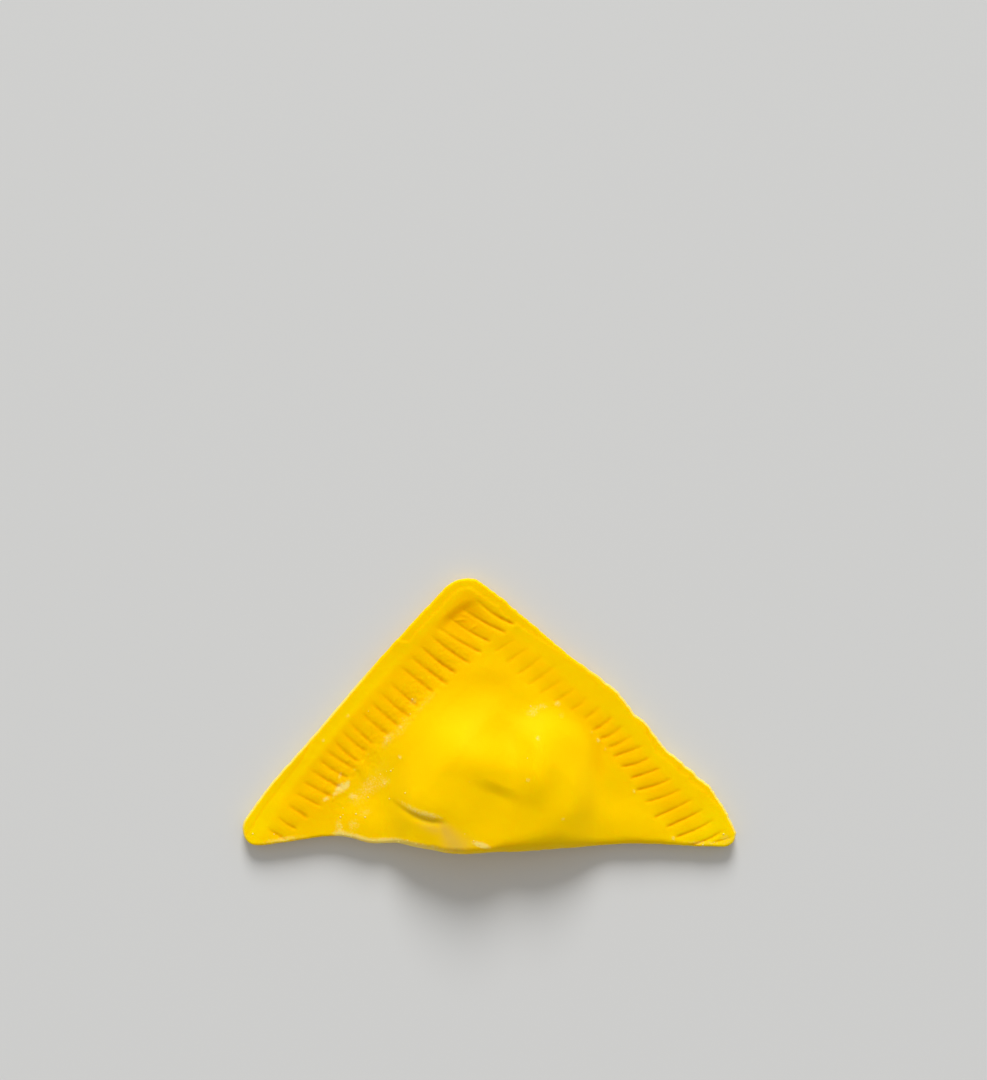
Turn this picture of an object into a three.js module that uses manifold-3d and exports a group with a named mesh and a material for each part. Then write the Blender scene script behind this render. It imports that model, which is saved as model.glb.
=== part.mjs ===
// A samosa: one sheet of yellow dough folded corner to corner over its filling, the two open
// edges pressed shut with a fork. It is uncut, so it is one solid.
//
// Millimetres, +Z up. The fold runs along X on the -Y side, the two crimped arms meet at the
// apex on the +Y side, and the underside is flat. The origin is the middle of the footprint's
// box, on the surface that the samosa lies on.

import * as THREE from "three";
import { mergeVertices } from "three/addons/utils/BufferGeometryUtils.js";
import Module from "manifold-3d";

const wasm = await Module();
wasm.setup();

// ---------------------------------------------------------------- driving dimensions

const DOUGH = 2.2; // thickness of the rolled sheet
const SEAM_TOP = 2 * DOUGH; // top of the two sheets where they are pressed together

// The footprint's three corners, before they are rounded.
const LEFT_CORNER = new THREE.Vector2(-75.3, -36.9);
const APEX_CORNER = new THREE.Vector2(-7.6, 43.1);
const RIGHT_CORNER = new THREE.Vector2(72.8, -36.9);
const LEFT_RADIUS = 4.6;
const APEX_RADIUS = 9;
const RIGHT_RADIUS = 3.6;

// Each arm is a quadratic curve whose control point stands this far out from its chord, this
// share of the way along it.
const LEFT_ARM_BOW = 3.2;
const LEFT_BEND_AT = 0.5;
const RIGHT_ARM_BOW = 8.2;
const RIGHT_BEND_AT = 0.69;

// How the arms' edges stray from their bows: how far along the arm, reach, and how far out. The
// straying fades over this much of the dough inside the edge.
const LEFT_ARM_WAVES = [{ at: 20, reach: 13, out: 0.6 }];
const RIGHT_ARM_WAVES = [
  { at: 55, reach: 10, out: 1.6 },
  { at: 70, reach: 5, out: 0.5 },
  { at: 84, reach: 6, out: 0.6 },
  { at: 96, reach: 7, out: 2.0 },
];
const ARM_WAVES_FADE = 9;

// The fold waves in and out of its straight line: a waist towards each tip, a belly between.
const FOLD_WAVES = [
  { at: -45, reach: 12, out: -3.0 },
  { at: -4, reach: 18, out: 1.9 },
  { at: 42, reach: 14, out: -1.0 },
];

// How far in from each arm's edge the flat of the seam reaches.
const LEFT_BAND = 14.5;
const RIGHT_BAND = 9.5;

// The filling under the top sheet: a mound that slopes up from the seams to a crest and sinks
// a little from there towards the fold. A flank is where a slope starts and ends: in from an arm,
// along X, or for the north flank along Y from its top to its foot.
const MOUND_RISE = 9.7;
const LEFT_FLANK = [15.5, 36];
const RIGHT_FLANK = [10, 27];
const NORTH_FLANK = [-16, 11.5];

// The mound's ends slope gently and then, for a share of their height, fall over a shoulder.
const WEST_END = { slope: [-33.5, -6.5], shoulder: [-31.5, -21.5] };
const EAST_END = { slope: [8.5, 31.5], shoulder: [22.5, 35.5] };
const SHOULDER = 0.42;

const CREST = -15.5;
const FOLD_SINK = 0.06; // share of its rise that the mound loses by the fold
const CREST_TO_FOLD = 22;

// Lumps and dimples of the filling: middle, reach along and across, turn in degrees, and rise.
const LUMPS = [
  { at: [-19, -23.5], reach: [9, 8], turn: -25, rise: 0.9 },
  { at: [-9, -9], reach: [8, 5], turn: -30, rise: 0.5 },
  { at: [14, -14], reach: [4.2, 11], turn: 4, rise: 1.0 },
  { at: [20, -4], reach: [7, 6], turn: 0, rise: 0.9 },
  { at: [22, -24], reach: [9, 5.5], turn: 50, rise: 0.8 },
  { at: [-3, -29], reach: [7, 7], turn: 0, rise: 0.4 },
  { at: [-36.5, -32], reach: [7, 8], turn: 0, rise: 1.0 },
  { at: [37.7, -31], reach: [9, 6], turn: -20, rise: 0.8 },
  { at: [4, -23.5], reach: [8, 3], turn: -24, rise: -0.7 },
];
const LUMP_EDGE = 2.5; // how squarely a lump ends

// The saddle between the filling's two humps runs down the crown: its place along X, its reach and
// depth, and where along Y it starts and is whole.
const SADDLE = { at: 6, reach: 6.5, depth: 1.9, starts: [-5.5, 8.5] };

const SLACK = 0.25; // rise of the loose dough inside the seams
const SLACK_REACH = 9;

// The fork: 4 tines. Each press is given by where its first mark lies along the arm, the gap
// between marks, how many of them land on the dough, and then for its first and last mark how
// far in from the edge it starts, its length, how far its inner end leans towards the apex in
// degrees, and how deep it is for a full press.
const TINE_RADIUS = 0.9;
const TINE_DEPTH = 0.65;
const LEFT_PRESSES = [
  {
    first: 11.9, gap: 4.3, marks: 3,
    inset: [6.7, 7.1], length: [5.1, 6.7], lean: [8, 7], depth: [0.5, 0.6],
  },
  {
    first: 24.4, gap: 3.8, marks: 4,
    inset: [6.2, 5.6], length: [8.6, 10.1], lean: [15, 9], depth: [0.6, 0.7],
  },
  {
    first: 39.2, gap: 3.4, marks: 4,
    inset: [5.6, 5.3], length: [9.7, 10], lean: [6, -2], depth: [0.8, 0.8],
  },
  {
    first: 53.7, gap: 3.9, marks: 4,
    inset: [6.4, 7.1], length: [10.5, 10.7], lean: [2, 3], depth: [0.8, 0.8],
  },
  {
    first: 70.8, gap: 4.2, marks: 4,
    inset: [6.3, 6.4], length: [12.2, 14.4], lean: [2, 5], depth: [0.9, 1.1],
  },
  {
    first: 86.4, gap: 4.4, marks: 4,
    inset: [5.9, 6.8], length: [15.2, 15.7], lean: [9, 10], depth: [1.2, 1.3],
  },
];
const RIGHT_PRESSES = [
  {
    first: 25.1, gap: 4.5, marks: 4,
    inset: [7.4, 5.2], length: [6.4, 9.4], lean: [13, 8], depth: [0.5, 0.5],
  },
  {
    first: 42.8, gap: 4.4, marks: 4,
    inset: [7.2, 5.7], length: [7, 4.9], lean: [11, 8], depth: [0.5, 0.6],
  },
  {
    first: 60.5, gap: 3.9, marks: 4,
    inset: [5.1, 5.1], length: [6.2, 8], lean: [9, 23], depth: [0.7, 0.8],
  },
  {
    first: 76.1, gap: 4.2, marks: 4,
    inset: [5.6, 5.2], length: [8.3, 10.9], lean: [25, 25], depth: [0.8, 0.8],
  },
  {
    first: 93, gap: 4.1, marks: 4,
    inset: [4.6, 3.4], length: [11.8, 11.6], lean: [19, 23], depth: [0.8, 0.8],
  },
  {
    first: 108.1, gap: 4.1, marks: 1,
    inset: [2.6, 2.6], length: [5.1, 5.1], lean: [29, 29], depth: [0.5, 0.5],
  },
];

// A pinch in the dough below the left of the filling, from tip to tip.
const PINCH = [new THREE.Vector2(-26.5, -24.4), new THREE.Vector2(-14.2, -30.8)];
const PINCH_RADIUS = 1.1;
const PINCH_DEPTH = 1.2;

// The top sheet's edge stops a little short of the bottom sheet's, and most at the apex.
const SHEET_STEP = 0.4;
const APEX_STEP = 2.0;
const APEX_STEP_REACH = 14;

// The fold is a full half oval as high as the dough this far inside it, and this deep for its
// height to the west and to the east of where it changes along X. It gives way to the sealed
// edge at the tips, by how far the way in points along +Y.
const FOLD_PROBE = 5;
const FOLD_ROUNDNESS = [0.34, 0.55];
const FOLD_CHANGES = [2, 12];
const FOLD_SQUARENESS = 3; // 2 would be an ellipse
const FOLD_STARTS = -0.2;
const FOLD_IS_WHOLE = 0.85;

// How finely the body is faceted, and where its spokes meet.
const SPOKES = 138;
const FOLD_STEPS = 14;
const TOP_RINGS = 16;
const DENT_STEPS = 4;
const MIDDLE = new THREE.Vector2(-3, -6);

// ---------------------------------------------------------------- footprint

const smooth = (a, b, v) => THREE.MathUtils.smoothstep(v, a, b);
const bump = (distance, reach) => Math.exp(-((distance / reach) ** 2));

/** An arm: a quadratic curve between two corners that bows out from its chord and waves. */
function armEdge(from, to, bow, bendAt, waves) {
  const along = to.clone().sub(from).normalize();
  const inward = new THREE.Vector2(along.y, -along.x);
  const bend = from.clone().lerp(to, bendAt).addScaledVector(inward, -bow);
  return { from, along, inward, bend, bow, bendAt, waves, length: from.distanceTo(to) };
}

const LEFT_ARM = armEdge(LEFT_CORNER, APEX_CORNER, LEFT_ARM_BOW, LEFT_BEND_AT, LEFT_ARM_WAVES);
const RIGHT_ARM = armEdge(APEX_CORNER, RIGHT_CORNER, RIGHT_ARM_BOW, RIGHT_BEND_AT, RIGHT_ARM_WAVES);

/** How far an arm's edge stands out from its chord at a station along it. */
function bowAt(arm, station) {
  const share = THREE.MathUtils.clamp(station / arm.length, 0, 1);
  // The curve reaches a share of 2 at t + (1 - 2 at) t^2 of its chord at t.
  const { bendAt: at, bow } = arm;
  const t = share / (at + Math.sqrt(at ** 2 + (1 - 2 * at) * share));
  return 2 * t * (1 - t) * bow;
}

/** How far a point lies inside an arm's edge, square to its chord. */
function insetFrom(arm, point) {
  const offset = point.clone().sub(arm.from);
  return offset.dot(arm.inward) + bowAt(arm, offset.dot(arm.along));
}

/** The arc that rounds a corner, and where it starts and ends on the edges that meet there. */
function cornerArc(corner, before, after, radius) {
  const back = before.clone().sub(corner).normalize();
  const ahead = after.clone().sub(corner).normalize();
  const half = Math.acos(back.dot(ahead)) / 2;
  const tangent = radius / Math.tan(half);
  const centre = back.clone().add(ahead).setLength(radius / Math.sin(half)).add(corner);
  const start = corner.clone().addScaledVector(back, tangent);
  const end = corner.clone().addScaledVector(ahead, tangent);
  return { centre, radius, start, end };
}

function addArc(shape, { centre, radius, start, end }) {
  const angle = (p) => Math.atan2(p.y - centre.y, p.x - centre.x);
  shape.absarc(centre.x, centre.y, radius, angle(start), angle(end), true);
}

const foldY = (x) =>
  LEFT_CORNER.y - FOLD_WAVES.reduce((sum, wave) => sum + wave.out * bump(x - wave.at, wave.reach), 0);

/** The footprint, clockwise: left arm, apex, right arm, right tip, fold, left tip. */
function footprint() {
  const left = cornerArc(LEFT_CORNER, RIGHT_CORNER, LEFT_ARM.bend, LEFT_RADIUS);
  const apex = cornerArc(APEX_CORNER, LEFT_ARM.bend, RIGHT_ARM.bend, APEX_RADIUS);
  const right = cornerArc(RIGHT_CORNER, RIGHT_ARM.bend, LEFT_CORNER, RIGHT_RADIUS);
  const fold = Array.from({ length: FOLD_STEPS - 1 }, (_, i) => {
    const x = THREE.MathUtils.lerp(right.end.x, left.start.x, (i + 1) / FOLD_STEPS);
    return new THREE.Vector2(x, foldY(x));
  });

  const shape = new THREE.Shape();
  shape.moveTo(left.end.x, left.end.y);
  shape.quadraticCurveTo(LEFT_ARM.bend.x, LEFT_ARM.bend.y, apex.start.x, apex.start.y);
  addArc(shape, apex);
  shape.quadraticCurveTo(RIGHT_ARM.bend.x, RIGHT_ARM.bend.y, right.start.x, right.start.y);
  addArc(shape, right);
  shape.splineThru([...fold, left.start]);
  addArc(shape, left);
  return shape;
}

/** A point of the smooth footprint, moved out by the waves of the arms that it lies near. */
function waved(point) {
  return [LEFT_ARM, RIGHT_ARM].reduce((moved, arm) => {
    const station = moved.clone().sub(arm.from).dot(arm.along);
    const near = 1 - smooth(0, ARM_WAVES_FADE, insetFrom(arm, moved));
    const out = arm.waves.reduce((sum, wave) => sum + wave.out * bump(station - wave.at, wave.reach), 0);
    return moved.clone().addScaledVector(arm.inward, -out * near);
  }, point);
}

const OUTLINE = footprint().getSpacedPoints(SPOKES).slice(0, SPOKES).map(waved);

/** The way into the dough from a point of the outline, square to the edge there. */
function inwardAt(i) {
  const before = OUTLINE[(i + SPOKES - 1) % SPOKES];
  const after = OUTLINE[(i + 1) % SPOKES];
  const along = after.clone().sub(before).normalize();
  return new THREE.Vector2(along.y, -along.x);
}

// ---------------------------------------------------------------- the top sheet's height

/** Rise of one lump at a point. */
function lumpRise({ at, reach, turn, rise }, point) {
  const offset = new THREE.Vector2(point.x - at[0], point.y - at[1]);
  offset.rotateAround(new THREE.Vector2(), -THREE.MathUtils.degToRad(turn));
  return rise * Math.exp(-(Math.hypot(offset.x / reach[0], offset.y / reach[1]) ** LUMP_EDGE));
}

/** How much of the mound's height one of its ends has reached at a place along X. */
const endShare = ({ slope, shoulder }, x) =>
  THREE.MathUtils.lerp(smooth(...slope, x), smooth(...shoulder, x), SHOULDER);

/** Height of the top sheet over the surface below, before the fork marks it. */
function topHeight(point) {
  const left = insetFrom(LEFT_ARM, point);
  const right = insetFrom(RIGHT_ARM, point);
  const loose = smooth(0, SLACK_REACH, left - LEFT_BAND) * smooth(0, SLACK_REACH, right - RIGHT_BAND);
  const flanks =
    smooth(...LEFT_FLANK, left) *
    smooth(...RIGHT_FLANK, right) *
    endShare(WEST_END, point.x) *
    (1 - endShare(EAST_END, point.x)) *
    (1 - smooth(...NORTH_FLANK, point.y));
  const sunk = FOLD_SINK * Math.max(0, (CREST - point.y) / CREST_TO_FOLD) ** 1.5;
  const lumps = LUMPS.reduce((sum, lump) => sum + lumpRise(lump, point), 0);
  const saddle =
    SADDLE.depth * bump(point.x - SADDLE.at, SADDLE.reach) * (1 - smooth(...SADDLE.starts, point.y));
  return SEAM_TOP + MOUND_RISE * flanks * (1 - sunk) + loose * (SLACK + lumps - saddle);
}

// ---------------------------------------------------------------- the body

/** How far the top sheet's edge stops short of the bottom one's, most at the apex. */
const stepBack = (point) =>
  SHEET_STEP + APEX_STEP * bump(point.distanceTo(APEX_CORNER), APEX_STEP_REACH);

/** The sealed edge in section, from the underside out and up: [distance in, height]. */
function sealedEdge(point) {
  const step = stepBack(point);
  return [
    [3.4, 0],
    [1.0, 0.25],
    [0.1, 0.9],
    [0, 1.5],
    [step + 0.5, 0.95 * DOUGH],
    [step, 1.15 * DOUGH],
    [step + 0.15, 1.6 * DOUGH],
    [step + 0.9, 1.88 * DOUGH],
    [step + 2.6, SEAM_TOP],
  ];
}

/** A cosine or sine drawn out for the fold's fuller section. */
const squared = (value) => Math.sign(value) * Math.abs(value) ** (2 / FOLD_SQUARENESS);

/** The fold in section, from the underside round to the top. */
function foldedEdge(point, inward) {
  const height = topHeight(point.clone().addScaledVector(inward, FOLD_PROBE));
  const depth = THREE.MathUtils.lerp(...FOLD_ROUNDNESS, smooth(...FOLD_CHANGES, point.x)) * height;
  const last = sealedEdge(point).length - 1;
  return Array.from({ length: last + 1 }, (_, i) => {
    const angle = Math.PI * (i / last - 0.5);
    return [depth * (1 - squared(Math.cos(angle))), (height / 2) * (1 + squared(Math.sin(angle)))];
  });
}

/** The points of one spoke of the body, from the middle of the underside to the top's middle. */
function spokePoints(i) {
  const edge = OUTLINE[i];
  const inward = inwardAt(i);
  const folded = smooth(FOLD_STARTS, FOLD_IS_WHOLE, inward.y);
  const sealed = sealedEdge(edge);
  const rolled = foldedEdge(edge, inward);
  const rim = sealed.map(([inset, height], j) => {
    const plan = edge.clone().addScaledVector(inward, THREE.MathUtils.lerp(inset, rolled[j][0], folded));
    return new THREE.Vector3(plan.x, plan.y, THREE.MathUtils.lerp(height, rolled[j][1], folded));
  });
  const brink = rim[rim.length - 1];
  const top = Array.from({ length: TOP_RINGS }, (_, j) => {
    const plan = new THREE.Vector2(brink.x, brink.y).lerp(MIDDLE, (j + 1) / TOP_RINGS);
    return new THREE.Vector3(plan.x, plan.y, topHeight(plan));
  });
  return [new THREE.Vector3(MIDDLE.x, MIDDLE.y, 0), ...rim, ...top];
}

/** The body, turned as a plain pillow whose points then move to the spokes, which run the other way. */
function bodyGeometry() {
  const spokes = OUTLINE.map((_, i) => spokePoints(i));
  const rings = spokes[0].length;
  const profile = Array.from({ length: rings }, (_, j) => {
    const angle = Math.PI * (j / (rings - 1));
    return new THREE.Vector2(Math.sin(angle), -Math.cos(angle));
  });
  const pillow = new THREE.LatheGeometry(profile, SPOKES);
  const place = pillow.getAttribute("position");
  for (let i = 0; i <= SPOKES; i += 1) {
    spokes[(SPOKES - i) % SPOKES].forEach(({ x, y, z }, j) => place.setXYZ(i * rings + j, x, y, z));
  }
  return pillow;
}

// ---------------------------------------------------------------- fork marks

/** A rod that follows the top sheet between two points of the plan, sunk in it by a depth. */
function dent(from, to, radius, depth) {
  const path = Array.from({ length: DENT_STEPS + 1 }, (_, i) => {
    const plan = from.clone().lerp(to, i / DENT_STEPS);
    return new THREE.Vector3(plan.x, plan.y, topHeight(plan) + radius - depth);
  });
  const section = new THREE.Shape();
  section.absarc(0, 0, radius, 0, 2 * Math.PI, false);
  const extrudePath = new THREE.CatmullRomCurve3(path);
  return new THREE.ExtrudeGeometry(section, { extrudePath, steps: DENT_STEPS, curveSegments: 4 });
}

/** The mark of one tine, square to the arm but for its lean, some way in from the edge. */
function tineMark(arm, station, inset, length, lean, depth) {
  const outer = arm.from
    .clone()
    .addScaledVector(arm.along, station)
    .addScaledVector(arm.inward, inset - bowAt(arm, station));
  const way = arm.inward.clone().rotateAround(new THREE.Vector2(), THREE.MathUtils.degToRad(lean));
  return dent(outer, outer.clone().addScaledVector(way, length), TINE_RADIUS, TINE_DEPTH * depth);
}

function pressMarks(arm, towardsApex, presses) {
  return presses.flatMap(({ first, gap, marks, inset, length, lean, depth }) =>
    Array.from({ length: marks }, (_, i) => {
      const at = (ends) => THREE.MathUtils.lerp(...ends, i / Math.max(marks - 1, 1));
      return tineMark(arm, first + i * gap, at(inset), at(length), towardsApex * at(lean), at(depth));
    }),
  );
}

// ---------------------------------------------------------------- assembly

/** A closed geometry as a solid that can be cut. */
function toSolid(geometry) {
  const bare = geometry.clone();
  bare.deleteAttribute("normal");
  bare.deleteAttribute("uv");
  const merged = mergeVertices(bare, 1e-4);
  return new wasm.Manifold(
    new wasm.Mesh({
      numProp: 3,
      vertProperties: merged.getAttribute("position").array,
      triVerts: new Uint32Array(merged.index.array),
    }),
  );
}

function toGeometry(solid) {
  const { vertProperties, triVerts } = solid.getMesh();
  const geometry = new THREE.BufferGeometry();
  geometry.setAttribute("position", new THREE.BufferAttribute(vertProperties, 3));
  geometry.setIndex(new THREE.BufferAttribute(triVerts, 1));
  return geometry.toNonIndexed();
}

const marks = [
  ...pressMarks(LEFT_ARM, 1, LEFT_PRESSES),
  ...pressMarks(RIGHT_ARM, -1, RIGHT_PRESSES),
  dent(PINCH[0], PINCH[1], PINCH_RADIUS, PINCH_DEPTH),
];
const cut = marks.reduce((solid, mark) => solid.subtract(toSolid(mark)), toSolid(bodyGeometry()));

const geometry = toGeometry(cut);
geometry.computeVertexNormals();
geometry.computeBoundingBox();
const middle = geometry.boundingBox.getCenter(new THREE.Vector3());
geometry.translate(-middle.x, -middle.y, -geometry.boundingBox.min.z);

const dough = new THREE.MeshStandardMaterial({ color: 0xfcc800, roughness: 0.5, metalness: 0 });
const samosa = new THREE.Mesh(geometry, dough);
samosa.name = "samosa";

const pastry = new THREE.Group();
pastry.add(samosa);

export default pastry;
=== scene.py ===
"""Looks for a raw samosa: a folded sheet of yellow dough, crimped with a fork and dusted with flour."""

import math
import random
from typing import NamedTuple

import bmesh
import bpy
import numpy as np
from bpy.props import (
    FloatProperty,
    FloatVectorProperty,
    IntProperty,
    PointerProperty,
)
from mathutils import Matrix, Vector, kdtree, noise


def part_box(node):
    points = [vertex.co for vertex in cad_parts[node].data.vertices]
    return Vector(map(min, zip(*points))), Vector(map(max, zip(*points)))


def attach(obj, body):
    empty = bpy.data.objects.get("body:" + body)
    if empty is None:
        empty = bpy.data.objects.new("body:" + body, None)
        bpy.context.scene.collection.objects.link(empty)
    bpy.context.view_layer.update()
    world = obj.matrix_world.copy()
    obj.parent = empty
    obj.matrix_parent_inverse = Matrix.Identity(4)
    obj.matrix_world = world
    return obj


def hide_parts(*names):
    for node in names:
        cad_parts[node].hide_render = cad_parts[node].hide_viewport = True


bl_info = {
    "name": "Samosa",
    "version": (1, 0, 0),
    "blender": (4, 5, 0),
    "location": "3D View > Sidebar > Samosa",
    "description": "Shapes and finishes a raw samosa with fork-crimped seams",
    "category": "Object",
}

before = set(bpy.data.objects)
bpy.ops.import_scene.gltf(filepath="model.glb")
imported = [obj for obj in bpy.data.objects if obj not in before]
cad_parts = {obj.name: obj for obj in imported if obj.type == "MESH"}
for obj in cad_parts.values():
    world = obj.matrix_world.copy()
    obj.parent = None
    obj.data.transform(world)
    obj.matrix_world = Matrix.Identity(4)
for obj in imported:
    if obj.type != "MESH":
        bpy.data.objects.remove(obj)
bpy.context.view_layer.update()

BODY = "root"

MM = 0.001  # metres
PER_METRE = 1000  # every size below is in millimetres
LOW, HIGH = (Vector(corner) * PER_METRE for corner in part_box("samosa"))

# ---------------------------------------------------------------- footprint

# The three corners before they are rounded, out from the sides of the frame's box.
LEFT = Vector((LOW.x - 4.44, LOW.y + 1.87))
APEX = Vector((LOW.x + 63.26, HIGH.y + 3.22))
RIGHT = Vector((HIGH.x + 2.99, LOW.y + 1.87))
LEFT_RADIUS, APEX_RADIUS, RIGHT_RADIUS = 4.95, 9.0, 3.6

# How far the arms bow out from their chords, and at what share of their length.
LEFT_BOW, LEFT_BEND_AT = 3.2, 0.5
RIGHT_BOW, RIGHT_BEND_AT = 8.2, 0.69
ARMS = {
    "left": (LEFT, APEX, LEFT_BOW, LEFT_BEND_AT),
    "right": (APEX, RIGHT, RIGHT_BOW, RIGHT_BEND_AT),
}

# How the arms' edges stray from their bows: station, reach and how far out.
ARM_WAVES = {
    "left": ((20, 13, 0.6),),
    "right": ((55, 10, 1.6), (64.6, 1.4, -0.4), (70, 5, 0.55), (79, 1.4, -0.45), (85, 5, 0.6), (96, 7, 2.0)),
}
ARM_WAVES_FADE = 9.0

# How the fold strays from a straight line: place along x, reach and how far out.
FOLD_WAVES = (
    (-44.5, 12, -3.0), (-3.5, 18, 1.9), (42.5, 14, -1.0), (-33.7, 4, 0.7), (-24.7, 4, -0.8),
    (-30.5, 10, -0.75), (-59.0, 7, -0.5), (-17.5, 4.5, -0.5), (1.0, 6, -0.55),
)
FOLD_WAVES_FADE = 30.0

TINY = 1e-9


def smooth(start, end, value):
    """Rises from 0 at the start to 1 at the end, also where the end is the smaller value."""
    share = np.clip((value - start) / (end - start), 0.0, 1.0)
    return share * share * (3 - 2 * share)


def window(one_side, other_side, value):
    """1 between two stretches, each given from where it is 0 to where it is 1."""
    return smooth(*one_side, value) * smooth(*other_side, value)


def bump(distance, reach):
    return np.exp(-((distance / reach) ** 2))


def between(ends, share):
    return ends[0] + (ends[1] - ends[0]) * share


def rough(x, y, size, seed):
    """Even noise from -1 to 1 with features of a size, at each place."""
    k = 1 / size
    return np.array([noise.noise(Vector((px * k, py * k, seed))) for px, py in zip(x, y)])


def along_and_across(x, y, start, c, s):
    """Where points lie along a line and to its left, by its start and its way's cosine and sine."""
    dx, dy = x - start[0], y - start[1]
    return dx * c + dy * s, dy * c - dx * s


def oval(x, y, at, reach, turn):
    """How far points lie from a middle, as a share of the reach along and across."""
    c, s = math.cos(math.radians(turn)), math.sin(math.radians(turn))
    along, across = along_and_across(x, y, at, c, s)
    return np.hypot(along / reach[0], across / reach[1])


def arm_ways(name):
    """The way along an arm's chord, and the way in from it."""
    start, end = ARMS[name][:2]
    along = (end - start).normalized()
    return along, Vector((along.y, -along.x))


def arm_bend(name):
    start, end, bow, at = ARMS[name]
    return start.lerp(end, at) - arm_ways(name)[1] * bow


def arm_bow(name, station):
    """How far an arm's edge stands out from its chord at stations along it."""
    start, end, bow, at = ARMS[name]
    share = np.clip(station / (end - start).length, 0.0, 1.0)
    t = share / (at + np.sqrt(at**2 + (1 - 2 * at) * share))
    return 2 * t * (1 - t) * bow


def arm_inset(name, x, y):
    """How far points lie inside an arm's edge, and their stations along it."""
    start = ARMS[name][0]
    along, inward = arm_ways(name)
    station = (x - start.x) * along.x + (y - start.y) * along.y
    inset = (x - start.x) * inward.x + (y - start.y) * inward.y
    return inset + arm_bow(name, station), station


def arm_stray(name, x, y):
    """How far points by an arm's edge move out with its waves."""
    inset, station = arm_inset(name, x, y)
    out = sum(far * bump(station - at, reach) for at, reach, far in ARM_WAVES[name])
    return out * smooth(ARM_WAVES_FADE, 0, inset)


def fold_line(x):
    """Where the fold's edge lies in y, at places along x."""
    return LEFT.y - sum(out * bump(x - at, reach) for at, reach, out in FOLD_WAVES)


# Each corner with the points that it looks back and ahead to, and its radius.
CORNERS = (
    (LEFT, RIGHT, arm_bend("left"), LEFT_RADIUS),
    (APEX, arm_bend("left"), arm_bend("right"), APEX_RADIUS),
    (RIGHT, arm_bend("right"), LEFT, RIGHT_RADIUS),
)


def round_corner(x, y, corner, before, after, radius):
    """Draws the points of a sharp corner in to its arc."""
    back, ahead = (before - corner).normalized(), (after - corner).normalized()
    half = back.angle(ahead) / 2
    centre = corner + (back + ahead).normalized() * (radius / math.sin(half))
    out_back = (-(ahead - back * ahead.dot(back))).normalized()
    out_ahead = (-(back - ahead * back.dot(ahead))).normalized()
    way = (corner - centre).normalized()
    dx, dy = x - centre.x, y - centre.y
    far = np.hypot(dx, dy) + TINY
    inside = (dx * way.x + dy * way.y) / far >= math.cos(math.pi / 2 - half) - TINY
    share = np.maximum(dx * out_back.x + dy * out_back.y, dx * out_ahead.x + dy * out_ahead.y) / far
    share = np.where(inside, np.clip(share, 0.0, 1.0), 1.0)
    return centre.x + dx * share, centre.y + dy * share


def footprint(a, b):
    """Plan places of shares a towards the left corner and b towards the right one."""
    c = 1 - a - b
    bend_left, bend_right, middle = arm_bend("left"), arm_bend("right"), LEFT.lerp(RIGHT, 0.5)
    x, y = (
        c * c * APEX[i]
        + a * a * LEFT[i]
        + b * b * RIGHT[i]
        + 2 * (c * a * bend_left[i] + c * b * bend_right[i] + a * b * middle[i])
        for i in (0, 1)
    )
    y = y + (fold_line(x) - LEFT.y) * smooth(FOLD_WAVES_FADE, 0, y - LEFT.y)
    for corner in CORNERS:
        x, y = round_corner(x, y, *corner)
    for name in ARMS:
        stray, inward = arm_stray(name, x, y), arm_ways(name)[1]
        x, y = x - inward.x * stray, y - inward.y * stray
    return x, y


# ---------------------------------------------------------------- mound of the filling

DOUGH = 2.2  # thickness of the rolled sheet
SEAM_TOP = 2 * DOUGH
LEFT_BAND, RIGHT_BAND = 14.5, 9.5  # width of the crimped bands, from the arms' edges
MOUND_RISE = 9.7  # over the seams
LEFT_FLANK, RIGHT_FLANK = (15.5, 36), (10, 27)  # where the mound rises, in from the arms' edges
NORTH_FLANK = (10.9, -16.6)  # and in y, down from the apex
# The mound's ends slope gently and then, for a share of their height, fall over a shoulder.
WEST_FLANK, WEST_SHOULDER = (-33, -6), (-31, -21)
EAST_FLANK, EAST_SHOULDER = (9, 32), (23, 36)
SHOULDER = 0.42
# Below its crest the mound sinks by a share of its rise, more and more towards the fold.
CREST, CREST_TO_FOLD, FOLD_SINK, SINK_CURVE = -16.1, 22.0, 0.06, 1.5
SLACK, SLACK_REACH = 0.25, 9.0  # rise of the loose dough inside the bands
LUMP_EDGE = 2.5  # how squarely a lump ends

# Lumps and dimples of the filling: middle, reach along and across, turn in degrees, rise.
LUMPS = (
    ((-18.2, -24.1), (9, 8), -25, 0.9),
    ((-8.2, -9.6), (8, 5), -30, 0.5),
    ((0.6, -12.0), (6, 4), -12, 0.4),
    ((14.6, -14.4), (4.2, 11), 4, 1.0),
    ((20.5, -4.5), (7, 6), 0, 0.9),
    ((22.3, -24.6), (9, 5.5), 50, 0.8),
    ((-2.5, -29.5), (7, 7), 0, 0.4),
    ((-35.7, -32.6), (7, 8), 0, 1.0),
    ((38.5, -31.6), (9, 6), -20, 0.8),
    ((30.8, -13.6), (2.4, 8), 0, -0.4),
    ((4.0, -10.0), (12, 6), 0, -0.6),
    ((-22.0, -2.0), (12, 12), 0, 1.1),
    ((1.0, 7.0), (12, 8), 0, 0.9),
    ((22.0, -8.0), (9, 5), -35, 0.5),
    ((22.0, -30.0), (9, 5), 25, 0.5),
    ((12.5, -20.5), (4.5, 4.5), 0, 0.42),
    ((14.0, -11.0), (12, 6), 0, -0.3),
    ((25.0, -25.0), (4, 4), 0, 0.15),
    ((16.0, 8.0), (9, 5), -35, 0.35),
    ((-14.0, -16.0), (9, 5), 35, -0.25),
    ((5.5, -32.0), (5, 8), 0, -0.3),
    ((-24.0, 0.0), (10, 7), 40, 0.35),
)

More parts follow.
